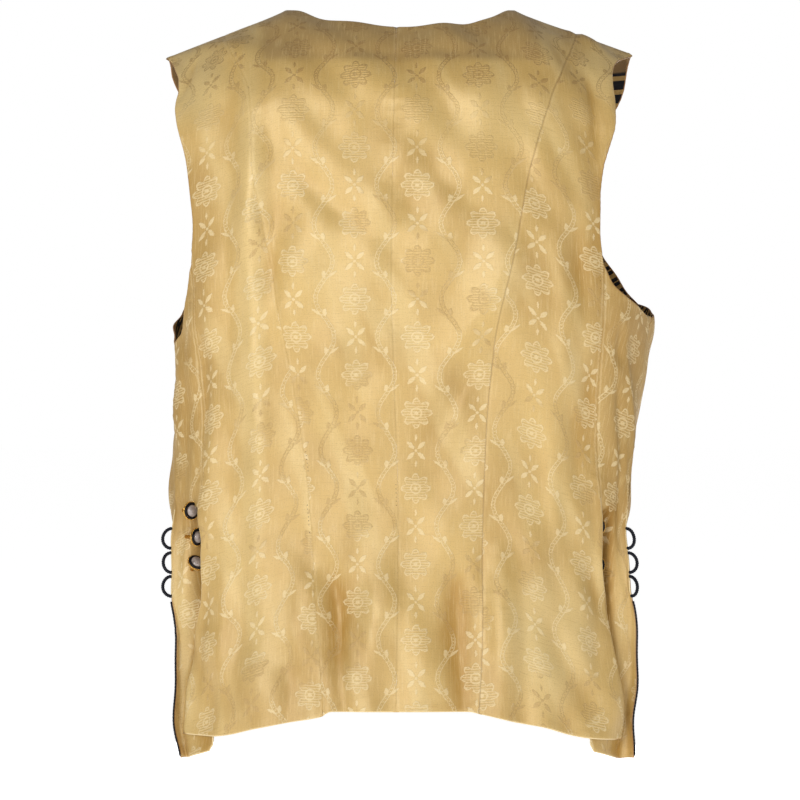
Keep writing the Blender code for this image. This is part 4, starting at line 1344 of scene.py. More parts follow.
def side_surface(side):
    """The panel under the arm, with its tail turned out flat and its underlap under the back."""
    sign = SIGN[side]
    heights = np.linspace(*TAIL_SPAN, TAIL_SECTIONS)
    vent = [flat(sign * at_height(BACK_EDGE, side, h), h, "back")[0] * sign for h in heights]
    outer = [slit_round(side, h) for h in heights]
    edge = []
    for h, r in zip(heights, outer):
        point = smooth_form(np.array(sign * r), np.array(flat_round(sign * r / HALF_GIRTH, h)[1]))
        edge.append((sign * at_height(TAIL_EDGE, side, h) - point[0], TAIL_EDGE_Y - point[1]))
    edge = np.array(edge)

    def surface(round_, down):
        base = smooth_form(round_, down)
        height = base[..., 2]
        vent_here = np.interp(-height, -heights, vent)
        outer_here = np.interp(-height, -heights, outer)
        place = np.abs(round_)
        trough = curve(TROUGH, "height", "depth", height)
        trough = trough * (1 - ease(place - vent_here, TROUGH_FLOOR, TROUGH_REACH))
        start = vent_here + FLARE_START
        share = np.clip((place - start) / (outer_here - start), 0, FLARE_END)
        turned = share**2 * (1 - ease(height, *FLARE_HEIGHTS))
        out = lifted(round_, down, base, rise(round_, down, height) - trough)
        out[..., 0] += turned * np.interp(-height, -heights, edge[:, 0])
        out[..., 1] += turned * np.interp(-height, -heights, edge[:, 1])
        return out

    return surface


def spaced(start, end, step=EDGE_STEP):
    """Places from start to end, a step or less apart."""
    count = max(2, math.ceil(float(np.linalg.norm(np.subtract(end, start))) / step) + 1)
    return np.linspace(start, end, count)


def levels(top, bottom):
    """Heights from top to bottom that every panel shares, so that neighbours' seams match."""
    shared = [-EDGE_STEP * n for n in range(1, LEVEL_COUNT)] + [SIDE_SEAM_TOP, VENT_TOP]
    low, high = bottom + LEVEL_CLEARANCE, top - LEVEL_CLEARANCE
    return [top, *sorted((h for h in shared if low < h < high), reverse=True), bottom]


def seam(side, columns, value, top, bottom, shift):
    """A seam of the back from top to bottom, moved out by shift to leave half the gap."""
    line = []
    for height in levels(top, bottom):
        x = at_height(columns, value, height)
        x = x + shift if value == "x" else SIGN[side] * (x + shift)
        line.append(flat(x, height, "back"))
    return line


def across_back(columns, start, end):
    """A line across the back from start to end, with x and height from a table."""
    line = []
    for x in spaced(start, end):
        line.append(flat(x, float(curve(columns, "x", "height", x)), "back"))
    return line


def shoulder(start, end, face):
    """The shoulder seam between two places across, half a gap below the shoulder line."""
    line = []
    for x in spaced(start, end):
        slope = SHOULDER_SLOPE["left"] if x < 0 else SHOULDER_SLOPE["right"]
        point = flat(x, -slope * (abs(x) - NECK_HALF_WIDTH), face)
        line.append(np.array([point[0], SEAM_GAP / 2]))
    return line


def joined(*lines):
    """One closed outline from lines that follow each other, and which of its stretches are sewn."""
    points, sewn = [], []
    for kind, line in lines:
        for point in line:
            if not points or np.linalg.norm(point - points[-1]) > SAME_PLACE:
                points.append(np.array(point))
                sewn.append(kind == "sewn")
    if np.linalg.norm(points[0] - points[-1]) < SAME_PLACE:
        points.pop()
        sewn.pop()
    return np.array(points), np.array(sewn)


def hem_height(x):
    return float(curve(BACK_HEM, "x", "height", x))


def princess_seam(side, shift):
    """A princess seam moved out by shift, and how far across its head and its foot are."""
    head_x = at_height(PRINCESS_SEAM, side, PRINCESS_SEAM_TOP)
    foot_x = SIGN[side] * (at_height(PRINCESS_SEAM, side, HEM) + shift)
    head = -SHOULDER_SLOPE[side] * (head_x - NECK_HALF_WIDTH)
    line = seam(side, PRINCESS_SEAM, side, head, hem_height(foot_x), shift)
    return line, SIGN[side] * (head_x + shift), foot_x


def side_line(side, top, bottom, shift):
    """The side-front seam, or the slit below it, from top to bottom and moved out by shift."""
    line = []
    for height in levels(top, bottom):
        line.append(flat_round(SIGN[side] * (slit_round(side, height) + shift) / HALF_GIRTH, height))
    return line


def back_centre_outline(side):
    sign = SIGN[side]
    half = SEAM_GAP / 2
    neck_x = at_height(CENTRE_SEAM, "x", CENTRE_SEAM_TOP) + sign * half
    foot_x = at_height(CENTRE_SEAM, "x", HEM) + sign * half
    princess, princess_head, princess_foot = princess_seam(side, -half)
    return joined(
        ("sewn", seam(side, CENTRE_SEAM, "x", CENTRE_SEAM_TOP, hem_height(foot_x), sign * half)),
        ("free", across_back(BACK_HEM, foot_x, princess_foot)),
        ("sewn", princess[::-1]),
        ("sewn", shoulder(princess_head, sign * NECK_HALF_WIDTH, "back")),
        ("free", across_back(BACK_NECK, sign * NECKLINE_END, neck_x)),
    )


def back_side_outline(side):
    sign = SIGN[side]
    half = SEAM_GAP / 2
    corner = BACK_CORNER[side]
    princess, princess_head, princess_foot = princess_seam(side, half)
    vent = seam(side, BACK_EDGE, side, VENT_TOP, corner, -half)
    side_seam = seam(side, BACK_EDGE, side, SIDE_SEAM_TOP, VENT_TOP, -half)
    hole = seam(side, BACK_EDGE, side, SHOULDER_TIP_HEIGHT, SIDE_SEAM_TOP, -half)
    return joined(
        ("sewn", princess),
        ("free", across_back(BACK_HEM, princess_foot, sign * at_height(BACK_EDGE, side, corner))),
        ("free", vent[::-1]),
        ("sewn", side_seam[::-1]),
        ("free", hole[::-1]),
        ("sewn", shoulder(sign * SHOULDER_HALF_WIDTH, princess_head, "back")),
    )


def side_outline(side):
    sign = SIGN[side]
    half = SEAM_GAP / 2
    arm = UNDERARM[side]
    inner_x = sign * TAIL_INNER_X[side]
    underlap = []
    for height in levels(UNDERLAP_TOP, TAIL_FOOT_INNER + CORNER_CUT):
        underlap.append(flat(inner_x, height, "back"))
    foot = flat(inner_x + sign * CORNER_CUT / 2, TAIL_FOOT_INNER, "back")
    tail = side_line(side, SLIT_TOP, TAIL_FOOT_OUTER, -half)[::-1]
    hole = []
    for height in np.linspace(arm["height"][-1], arm["height"][0], UNDERARM_POINTS):
        hole.append(flat(sign * (at_height(arm, "x", height) + half), height, "back"))
    return joined(
        ("sewn", seam(side, BACK_EDGE, side, SIDE_SEAM_TOP - SAME_PLACE, VENT_TOP, half)),
        ("free", underlap),
        ("free", spaced(foot, tail[0])),
        ("free", tail),
        ("sewn", side_line(side, arm["height"][-1], SLIT_TOP, -half)[::-1]),
        ("free", hole[1:]),
    )


def front_outline(side):
    sign = SIGN[side]
    half = SEAM_GAP / 2
    arm = FRONT_ARMHOLE[side]
    hole = []
    for height in levels(SHOULDER_TIP_HEIGHT - SAME_PLACE, arm["height"][0]):
        hole.append(flat(sign * at_height(arm, "x", height), height, "front"))
    side_seam = side_line(side, UNDERARM[side]["height"][-1] - SAME_PLACE, SLIT_TOP, half)
    slit = side_line(side, SLIT_TOP, FRONT_HEM["height"][0], half)
    foot = FRONT_HEM["height"][-1]
    corner = flat(sign * at_height(OPENING, "x", foot), foot, "front")
    hem = []
    reach = np.abs(corner[0]) - np.abs(slit[-1][0])
    for share in spaced(0, 1 - FRONT_CORNER_RADIUS / reach, EDGE_STEP / reach):
        around = sign * (abs(slit[-1][0]) + share * reach) / HALF_GIRTH
        hem.append(flat_round(around, float(curve(FRONT_HEM, "share", "height", share))))
    edge = []
    for height in levels(-SAME_PLACE * 2, foot + FRONT_CORNER_RADIUS)[::-1]:
        edge.append(flat(sign * at_height(OPENING, "x", height), height, "front"))
    turn = []
    for share in np.linspace(0, 1, CORNER_POINTS)[1:-1]:
        turn.append(hem[-1] * (1 - share) ** 2 + corner * 2 * share * (1 - share) + edge[0] * share**2)
    return joined(
        ("free", hole),
        ("free", spaced(hole[-1], side_seam[0])),
        ("sewn", side_seam),
        ("free", slit),
        ("free", hem),
        ("free", turn),
        ("free", edge),
        ("sewn", shoulder(sign * NECK_HALF_WIDTH, sign * SHOULDER_HALF_WIDTH, "front")),
    )


def inside(points, outline, sewn):
    """Which points lie inside the outline, and how far each is from its sewn and its free stretches."""
    start, end = (line.astype(np.float32) for line in (outline, np.roll(outline, -1, axis=0)))
    step = end - start
    reach = np.maximum((step * step).sum(-1), TINY_AREA)
    fall = np.where(np.abs(step[:, 1]) < TINY, TINY, step[:, 1])
    within, to_seam, to_edge = [], [], []
    for chunk in np.array_split(points.astype(np.float32), max(1, len(points) // CHUNK)):
        right, below = chunk[:, :1] - start[:, 0], chunk[:, 1:] - start[:, 1]
        crosses = (start[:, 1] > chunk[:, 1:]) != (end[:, 1] > chunk[:, 1:])
        within.append((crosses & (right < below / fall * step[:, 0])).sum(axis=1) % 2 == 1)
        share = np.clip((right * step[:, 0] + below * step[:, 1]) / reach, 0, 1)
        far = np.hypot(right - share * step[:, 0], below - share * step[:, 1])
        to_seam.append(far[:, sewn].min(axis=1) if sewn.any() else np.full(len(chunk), 1.0))
        to_edge.append(far[:, ~sewn].min(axis=1) if (~sewn).any() else np.full(len(chunk), 1.0))
    return np.concatenate(within), np.concatenate(to_seam), np.concatenate(to_edge)


def rows_along(outline, distance):
    """Points inside an outline, at one distance from it."""
    after = np.roll(outline, -1, axis=0) - outline
    before = outline - np.roll(outline, 1, axis=0)
    along = after / np.linalg.norm(after, axis=1, keepdims=True)
    along = along + before / np.linalg.norm(before, axis=1, keepdims=True)
    along /= np.maximum(np.linalg.norm(along, axis=1, keepdims=True), TINY)
    area = np.cross(outline, np.roll(outline, -1, axis=0)).sum()
    inwards = np.stack([-along[:, 1], along[:, 0]], axis=1) * np.sign(area)
    return outline + inwards * distance


def well_inside(points, outline, sewn, clearance):
    """The points inside an outline and this far from it, and how far each is from seams and free edges."""
    within, to_seam, to_edge = inside(points, outline, sewn)
    chosen = within & (np.minimum(to_seam, to_edge) > clearance)
    return points[chosen], to_seam[chosen], to_edge[chosen]


def cut_cloth(outline, sewn):
    """Points and triangles of a flat piece, and how far each point is from its seams and free edges."""
    _, to_seam, to_edge = inside(outline, outline, sewn)
    kept = [(outline, to_seam, to_edge)]
    for distance in EDGE_ROWS:
        row = rows_along(outline, distance)
        kept.append(well_inside(row, outline, sewn, distance * EDGE_ROW_CLEARANCE))
    low, high = outline.min(axis=0), outline.max(axis=0)
    grid = []
    for number, y in enumerate(np.arange(low[1], high[1], MESH_STEP * math.sqrt(3) / 2)):
        shift = MESH_STEP / 2 * (number % 2)
        grid += [(x, y) for x in np.arange(low[0] + shift, high[0], MESH_STEP)]
    kept.append(well_inside(np.array(grid), outline, sewn, INNER_GRID))
    points, to_seam, to_edge = (np.concatenate([part[i] for part in kept]) for i in range(3))
    edges = [(i, (i + 1) % len(outline)) for i in range(len(outline))]
    found = geometry.delaunay_2d_cdt([Vector(p) for p in points], edges, [], 1, MESH_MERGE)
    made = np.array([tuple(v) for v in found[0]])
    source = []
    for place, origins in zip(made, found[3]):
        source.append(origins[0] if origins else int(np.argmin(((points - place) ** 2).sum(1))))
    return made, [tuple(f) for f in found[2]], to_seam[source], to_edge[source]


def seam_shape(round_, down, to_seam, to_edge):
    """How far the cloth stands out at its seams and edges: groove, puckers and turned-in edge."""
    groove = -GROOVE_DEPTH * np.exp(-((to_seam / GROOVE_REACH) ** 2))
    beat = down * math.tau / PUCKER_LENGTH
    wave = np.sin(beat + PUCKER_STRAY * np.sin(beat * PUCKER_STRAY_BEAT))
    wave = wave + SECOND_PUCKER * np.sin(beat * SECOND_PUCKER_BEAT + 1.0)
    size = np.where(np.abs(round_) > SIDE_PUCKER_FROM, SIDE_SEAM_PUCKER, 1.0) * PUCKER_RISE
    pucker = size * wave * np.exp(-to_seam / PUCKER_REACH) * ease(to_seam, 0.0, GROOVE_REACH)
    turning = TURNING_RISE * (1 - ease(to_edge, *TURNING_END))
    return groove + pucker + turning


def roll(to_seam, to_edge):
    """How far each face of the wall curves in: round a free edge, and only a little at a seam."""
    share = np.clip(np.minimum(to_seam + SEAM_ROLL, to_edge) / ROLL_RADIUS, 0, 1)
    return WALL / 2 * (1 - np.sqrt(1 - (1 - share) ** 2)) * ROLL_SHARE


def border_of(triangles):
    """The sides of triangles that no other triangle shares, in order."""
    border = {}
    for a, b, c in triangles:
        for pair in ((a, b), (b, c), (c, a)):
            if pair[::-1] in border:
                del border[pair[::-1]]
            else:
                border[pair] = True
    return border


def in_scene(name, data):
    """A mesh, lamp or camera as an object of the scene."""
    piece = bpy.data.objects.new(name, data)
    bpy.context.scene.collection.objects.link(piece)
    return piece


def face_outwards(data):
    """Turns the faces of a closed shell so that they all face out."""
    shell = bmesh.new()
    shell.from_mesh(data)
    if shell.calc_volume(signed=True) < 0:
        bmesh.ops.reverse_faces(shell, faces=shell.faces)
    shell.to_mesh(data)
    shell.free()


def crease_at_seams(data, on_seam, count):
    """Sharpens the corner of both faces of the wall where they meet the next panel."""
    ends = np.zeros(len(data.edges) * 2, int)
    data.edges.foreach_get("vertices", ends)
    ends = ends.reshape(-1, 2)
    one_face = (ends[:, 0] < count) == (ends[:, 1] < count)
    sharp = on_seam[ends[:, 0]] & on_seam[ends[:, 1]] & one_face
    data.attributes.new("sharp_edge", "BOOLEAN", "EDGE").data.foreach_set("value", sharp)


def lay_pattern(data, round_, down, turn, shift):
    """Places on the woven length for both faces of the wall."""
    turned_round = (round_ * math.cos(turn) - down * math.sin(turn) + shift[0]).tolist() * 2
    turned_down = (-down * math.cos(turn) - round_ * math.sin(turn) + shift[1]).tolist() * 2
    places = np.stack([turned_round, turned_down], axis=1)
    of_corner = np.zeros(len(data.loops), int)
    data.loops.foreach_get("vertex_index", of_corner)
    data.uv_layers.new(name="cut").data.foreach_set("uv", places[of_corner].ravel())


def cloth(name, outline_and_sewn, surface, turn, shift):
    """A shell of cloth on the form: the jacquard outside and over the edge, the print inside."""
    points, triangles, to_seam, to_edge = cut_cloth(*outline_and_sewn)
    round_, down = points[:, 0], points[:, 1]
    face = normals(surface, round_, down)
    middle = surface(round_, down) - face * WALL / 2
    proud = seam_shape(round_, down, to_seam, to_edge)
    half = WALL / 2 - roll(to_seam, to_edge)
    fold = ((surface(round_, down) - smooth_form(round_, down)) * face).sum(axis=1)
    outer = middle + face * (half + proud)[:, None]
    inner = middle + face * (np.minimum(proud, 0) - half)[:, None]
    count = len(points)
    back = [(c + count, b + count, a + count) for a, b, c in triangles]
    rim = [(b, a, a + count, b + count) for a, b in border_of(triangles)]
    data = bpy.data.meshes.new(name)
    data.from_pydata(np.concatenate([outer, inner]).tolist(), [], [*triangles, *back, *rim])
    face_outwards(data)
    data.materials.append(materials["silk"])
    data.materials.append(materials["lining"])
    sides = np.zeros(len(data.polygons), int)
    sides[len(triangles) : 2 * len(triangles)] = 1
    data.polygons.foreach_set("material_index", sides)
    data.shade_smooth()
    crease_at_seams(data, np.tile(to_seam < ON_SEAM, 2), count)
    for label, values in (("to_seam", to_seam), ("to_edge", to_edge), ("fold", fold)):
        data.attributes.new(label, "FLOAT", "POINT").data.foreach_set("value", np.tile(values, 2))
    lay_pattern(data, round_, down, turn, shift)
    return in_scene(name, data)


def new_tree(name, sizes):
    """An empty tree with named inputs, and its first node."""
    tree = bpy.data.node_groups.new(name, "GeometryNodeTree")
    tree.interface.new_socket("Geometry", in_out="INPUT", socket_type="NodeSocketGeometry")
    for label, kind in sizes.items():
        tree.interface.new_socket(label, in_out="INPUT", socket_type=f"NodeSocket{kind}")
    tree.interface.new_socket("Geometry", in_out="OUTPUT", socket_type="NodeSocketGeometry")
    graph = Graph(tree)
    return graph, graph.add("NodeGroupInput")


def end_tree(graph, start, made):
    """Every tree ends by making its instances real and giving them their material."""
    real = graph.add("GeometryNodeRealizeInstances", {}, {"Geometry": made})
    smooth = graph.add("GeometryNodeSetShadeSmooth", {}, {0: real})
    sockets = {"Geometry": smooth, "Material": start.other("Material")}
    graph.add("NodeGroupOutput", {}, {0: graph.add("GeometryNodeSetMaterial", {}, sockets)})
    return graph.tree


def even_line(graph, start, spacing):
    """The line that the tree is given, with points evenly along it."""
    line = graph.add("GeometryNodeMeshToCurve", {}, {0: start})
    sockets = {"Curve": line, "Length": start.other(spacing)}
    return graph.add("GeometryNodeResampleCurve", {"mode": "LENGTH"}, sockets)


def twisted_cord_tree():
    """A cord of twisted strands along a line."""
    sizes = dict.fromkeys(("Radius", "Strands", "Strand Depth", "Turn", "Step"), "Float")
    graph, start = new_tree("twisted_cord", {**sizes, "Material": "Material"})
    length = graph.add("GeometryNodeSplineParameter", {}, {}, "Length")
    sockets = {"Curve": even_line(graph, start, "Step"), "Tilt": length / start.other("Turn") * math.tau}
    line = graph.add("GeometryNodeSetCurveTilt", {}, sockets)
    sockets = {"Resolution": CORD_SIDES, "Radius": start.other("Radius")}
    ring = graph.add("GeometryNodeCurvePrimitiveCircle", {}, sockets)
    turn = graph.add("GeometryNodeSplineParameter", {}, {}, "Factor") * math.tau
    lobe = (turn * start.other("Strands")).cos() * start.other("Strand Depth")
    spot = graph.add("GeometryNodeInputPosition")
    push = graph.add("ShaderNodeVectorMath", {"operation": "SCALE"}, {0: spot, "Scale": lobe})
    ring = graph.add("GeometryNodeSetPosition", {}, {"Geometry": ring, "Offset": push})
    sockets = {"Curve": line, "Profile Curve": ring, "Fill Caps": True}
    return end_tree(graph, start, graph.add("GeometryNodeCurveToMesh", {}, sockets))


def stitches_tree():
    """Short threads, or needle marks, one after another along a line on the cloth."""
    sizes = dict.fromkeys(("Length", "Width", "Thickness", "Pitch"), "Float")
    graph, start = new_tree("stitches", {**sizes, "Material": "Material"})
    line = even_line(graph, start, "Pitch")
    settings = {"data_type": "FLOAT_VECTOR"}
    off = graph.add("GeometryNodeInputNamedAttribute", settings, {"Name": "off_cloth"})
    upright = graph.add("FunctionNodeAlignRotationToVector", {"axis": "Z"}, {"Vector": off})
    sockets = {"Rotation": upright, "Vector": graph.add("GeometryNodeInputTangent")}
    turned = graph.add("FunctionNodeAlignRotationToVector", {"axis": "X", "pivot_axis": "Z"}, sockets)
    grain = graph.add("GeometryNodeMeshIcoSphere", {}, {"Radius": 0.5, "Subdivisions": 1})
    size = graph.place(start.other("Length"), start.other("Width"), start.other("Thickness"))
    sockets = {"Points": line, "Instance": grain, "Rotation": turned, "Scale": size}
    return end_tree(graph, start, graph.add("GeometryNodeInstanceOnPoints", {}, sockets))


def beads_tree():
    """A ring of small beads."""
    sizes = {"Ring Radius": "Float", "Bead Radius": "Float", "Count": "Int"}
    graph, start = new_tree("beads", {**sizes, "Material": "Material"})
    sockets = {"Resolution": start.other("Count"), "Radius": start.other("Ring Radius")}
    ring = graph.add("GeometryNodeCurvePrimitiveCircle", {}, sockets)
    sockets = {"Radius": start.other("Bead Radius"), "Subdivisions": 2}
    sockets = {"Points": ring, "Instance": graph.add("GeometryNodeMeshIcoSphere", {}, sockets)}
    return end_tree(graph, start, graph.add("GeometryNodeInstanceOnPoints", {}, sockets))


trees = {"cord": twisted_cord_tree(), "stitches": stitches_tree(), "beads": beads_tree()}


def grown(name, tree, points, sizes, material, directions=None, runs=None):
    """What a tree makes of a line of points, as a plain mesh."""
    data = bpy.data.meshes.new(name)
    runs = runs or [len(points)]
    links, first = [], 0
    for run in runs:
        links += [(i, i + 1) for i in range(first, first + run - 1)]
        first += run
    data.from_pydata([tuple(p) for p in points], links, [])
    if directions is not None:
        stored = data.attributes.new("off_cloth", "FLOAT_VECTOR", "POINT")
        stored.data.foreach_set("vector", np.ravel([tuple(d) for d in directions]))
    piece = in_scene(name, data)
    grower = piece.modifiers.new("grow", "NODES")
    grower.node_group = trees[tree]
    for item in trees[tree].interface.items_tree:
        if item.in_out == "INPUT" and item.name in sizes:
            grower[item.identifier] = sizes[item.name]
        if item.in_out == "INPUT" and item.name == "Material":
            grower[item.identifier] = materials[material]
    bpy.context.view_layer.update()
    evaluated = piece.evaluated_get(bpy.context.evaluated_depsgraph_get())
    made = bpy.data.meshes.new_from_object(evaluated)
    piece.modifiers.clear()
    piece.data = made
    made.name = name
    if not made.materials:
        made.materials.append(materials[material])
    return piece


def keep(piece, material, *nodes):
    """Fastens a finished piece to the garment and in place of its solids."""
    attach(piece, "root")
    if nodes:
        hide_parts(*nodes)


def wall_tree(piece):
    """A piece of cloth as a tree that finds its nearest place."""
    places = [v.co for v in piece.data.vertices]
    return BVHTree.FromPolygons(places, [f.vertices for f in piece.data.polygons])


def way_to_seat(places, towards, wall, spare=0.0):
    """How far places move in a direction until the nearest is a gap, and what is spare, from the wall."""
    moved = 0.0
    for _ in range(SEAT_TRIES):
        moved += min(wall.find_nearest(p + towards * moved)[3] for p in places) - spare - GAP
    return moved


def tail_edge(side, height):
    """A point of the tail's outer edge, and the directions outwards and straight off the cloth there."""
    surface = side_surfaces[side]
    place = flat_round(SIGN[side] * (slit_round(side, height) - GAP / 2) / HALF_GIRTH, height)
    round_, down = np.array([place[0]]), np.array([place[1]])
    point = surface(round_, down)[0]
    out = point - surface(round_ - SIGN[side] * EDGE_LOOK_BACK, down)[0]
    return point, out / np.linalg.norm(out), normals(surface, round_, down)[0]


def side_edge(side):
    """The dark rolled edge, from below the loops to the foot of the tail."""
    points = []
    for height in spaced(EDGE_CORD_TOP, EDGE_CORD_FOOT, EDGE_CORD_STEP):
        point, out, face = tail_edge(side, height)
        points.append(point + out * EDGE_CORD_STAND - face * WALL / 2)
    keep(grown(f"rolled_edge_{side}", "cord", points, EDGE_CORD, "cord"), "cord", f"side_edge_{side}")


def loop(side, number, height):
    """A twisted cord loop that stands out from the tail's outer edge."""
    _, out, face = tail_edge(side, height)
    points = []
    for angle in np.linspace(-LOOP_HALF_TURN, LOOP_HALF_TURN, LOOP_POINTS):
        turn = math.radians(angle)
        edge, _, _ = tail_edge(side, height + LOOP_HALF_HEIGHT * math.sin(turn))
        stand = SEAT_START + LOOP_REACH * math.cos(turn)
        points.append(Vector(edge + out * stand - face * WALL / 2))
    towards = -Vector(out)
    moved = way_to_seat(points, towards, walls[side], GAP)
    points = [p + towards * moved for p in points]
    points = [points[0] + towards * LOOP_TUCK, *points, points[-1] + towards * LOOP_TUCK]
    name = f"loop_{side}_{number}"
    keep(grown(f"cord_{name}", "cord", points, LOOP_CORD, "cord"), "cord", name)


# A button's turned profiles: share of the radius, height above the shank's end.
CUP = table(
    "radius height",
    (0.0, 0.0021),
    (0.66, 0.0021),
    (0.70, 0.0026),
    (0.76, 0.0031),
    (0.82, 0.0033),
    (0.87, 0.0030),
    (0.895, 0.0025),
    (0.90, 0.0018),
    (0.90, 0.0012),
    (0.0, 0.0012),
)
SHANK_PLATE = table(
    "radius height",
    (0.0, 0.0010),
    (0.93, 0.0010),
    (0.985, 0.0013),
    (1.0, 0.0010),
    (0.985, 0.0006),
    (0.80, 0.0002),
)
PEARL = table(
    "radius height",
    (0.0, 0.0058),
    (0.12, 0.00576),
    (0.25, 0.00558),
    (0.38, 0.00526),
    (0.50, 0.00478),
    (0.57, 0.00428),
    (0.62, 0.00368),
    (0.645, 0.00310),
    (0.65, 0.00260),
    (0.63, 0.00235),
    (0.0, 0.00235),
)
BEAD_RING = 0.945
BEAD_RADIUS = 0.00044
BEAD_HEIGHT = 0.0017
BEAD_COUNT = 44


def turned(name, profile, material, place):
    """A turned piece from a profile (radius, height) that runs down its outer side."""
    mesh = bmesh.new()
    rings = []
    for radius, height in profile:
        if radius < ON_AXIS:
            rings.append([mesh.verts.new((0, 0, height))])
            continue
        ring = []
        for angle in np.linspace(0, math.tau, BUTTON_STEPS, endpoint=False):
            ring.append(mesh.verts.new((radius * math.cos(angle), radius * math.sin(angle), height)))
        rings.append(ring)
    for upper, lower in zip(rings, rings[1:]):
        for here in range(BUTTON_STEPS):
            after = (here + 1) % BUTTON_STEPS
            order = ((upper, here), (lower, here), (lower, after), (upper, after))
            corners = [ring[i % len(ring)] for ring, i in order]
            mesh.faces.new(list(dict.fromkeys(corners)))
    bmesh.ops.recalc_face_normals(mesh, faces=mesh.faces)
    mesh.transform(place)
    data = bpy.data.meshes.new(name)
    mesh.to_mesh(data)
    mesh.free()
    data.shade_smooth()
    data.materials.append(materials[material])
    return in_scene(name, data)


def button(side, number, row):
    """A pearl in a black enamel cup with a beaded gilt rim, on a shank that stands on the tail."""
    surface = side_surfaces[side]
    x, height, turn, tilt, shank = row
    at = flat(x, height, "back")
    foot = surface(np.array([at[0]]), np.array([at[1]]))[0]
    turn, tilt = math.radians(turn), math.radians(tilt)
    facing = Vector((math.sin(turn) * math.cos(tilt), -math.cos(turn) * math.cos(tilt), math.sin(tilt)))
    across = Vector((0, 0, 1)).cross(facing).normalized()
    up = facing.cross(across).normalized()
    start = Vector(foot) + facing * SEAT_START
    rim = [start]
    for angle in np.linspace(0, math.tau, BUTTON_STEPS, endpoint=False):
        rim.append(start + (across * math.cos(angle) + up * math.sin(angle)) * SHANK_FOOT_RADIUS)
    place = Matrix((across, up, facing)).transposed().to_4x4()
    place.translation = start - facing * way_to_seat(rim, -facing, walls[side])

    def profile(columns):
        return [(r * BUTTON_RADIUS, shank + z) for r, z in zip(columns["radius"], columns["height"])]

    cup = turned(f"button_cup_{side}_{number}", profile(CUP), "enamel", place)
    keep(cup, "enamel", f"button_{side}_{number}")
    shank_sides = [(SHANK_RADIUS, shank + SHANK_NECK), (SHANK_FOOT_RADIUS, 0.0), (0.0, 0.0)]
    back = profile(SHANK_PLATE) + shank_sides
    keep(turned(f"button_back_{side}_{number}", back, "gilt", place), "gilt")
    sizes = {"Ring Radius": BEAD_RING * BUTTON_RADIUS, "Bead Radius": BEAD_RADIUS, "Count": BEAD_COUNT}
    beads = grown(f"button_beads_{side}_{number}", "beads", [(0, 0, 0)], sizes, "gilt")
    beads.data.transform(place @ Matrix.Translation((0, 0, shank + BEAD_HEIGHT)))
    keep(beads, "gilt")
    stone = turned(f"button_pearl_{side}_{number}", profile(PEARL), "pearl", place)
    keep(stone, "pearl", f"pearl_{side}_{number}")


def line_on(surface, places, lift):
    """Points of a line on a piece of cloth, and the directions straight off it."""
    places = np.array(places)
    round_, down = places[:, 0], places[:, 1]
    off = normals(surface, round_, down)
    return surface(round_, down) + off * lift, off


def sewn_line(name, tree_sizes, material, lines):
    """Stitches or needle marks along several lines, as one piece."""
    points, directions, runs = [], [], []
    for surface, places, lift in lines:
        made, off = line_on(surface, places, lift)
        points += list(made)
        directions += list(off)
        runs.append(len(made))
    keep(grown(name, "stitches", points, tree_sizes, material, directions, runs), material)


def stretch(columns, value, side, top, bottom, shift):
    """Places along a line of the back's cut, from one height to another."""
    places = []
    for height in spaced(top, bottom, SEWING_STEP):
        x = at_height(columns, value, height) + shift
        places.append(flat(x if value == "x" else SIGN[side] * x, height, "back"))
    return places


# Sizes of the threads and marks that show, how far beside its line each sits, and where the marks are.
SEWING_STEP = 0.004
SEAM_THREAD = {"Length": 0.0024, "Width": 0.00040, "Thickness": 0.00030, "Pitch": 0.0031}
SEAM_THREAD_BESIDE = -0.0016
SEAM_THREAD_SPAN = (SIDE_SEAM_TOP - 0.004, VENT_TOP)
BAR_TACK = {"Length": 0.0050, "Width": 0.00055, "Thickness": 0.0005, "Pitch": 0.0008}
BAR_TACK_BESIDE = -0.0012
BAR_TACK_SPAN = (VENT_TOP - 0.0015, VENT_TOP + 0.0035)
BAR_TACK_LIFT = 0.0002
NEEDLE_MARK = {"Length": 0.0008, "Width": 0.0008, "Thickness": 0.0002, "Pitch": 0.0032}
NEEDLE_MARKS = (
    (CENTRE_SEAM, "x", "left", -0.424, -0.442, -0.0016),
    (PRINCESS_SEAM, "left", "left", -0.392, -0.412, -0.0018),
    (PRINCESS_SEAM, "left", "left", -0.442, -0.466, 0.0018),
    (BACK_EDGE, "right", "right", -0.239, -0.252, -0.0034),
)


def sewing():
    """Thread that shows in the side-back seams, bar tacks at the openings' tops, and old needle marks."""
    for side in SIGN:
        line = stretch(BACK_EDGE, side, side, *SEAM_THREAD_SPAN, SEAM_THREAD_BESIDE)
        sewn_line(f"seam_thread_{side}", SEAM_THREAD, "thread", [(back_surface, line, 0.0)])
        line = stretch(BACK_EDGE, side, side, *BAR_TACK_SPAN, BAR_TACK_BESIDE)
        sewn_line(f"bar_tack_{side}", BAR_TACK, "thread", [(back_surface, line, BAR_TACK_LIFT)])
    marks = [(back_surface, stretch(*mark), 0.0) for mark in NEEDLE_MARKS]
    sewn_line("needle_marks", NEEDLE_MARK, "needle_mark", marks)


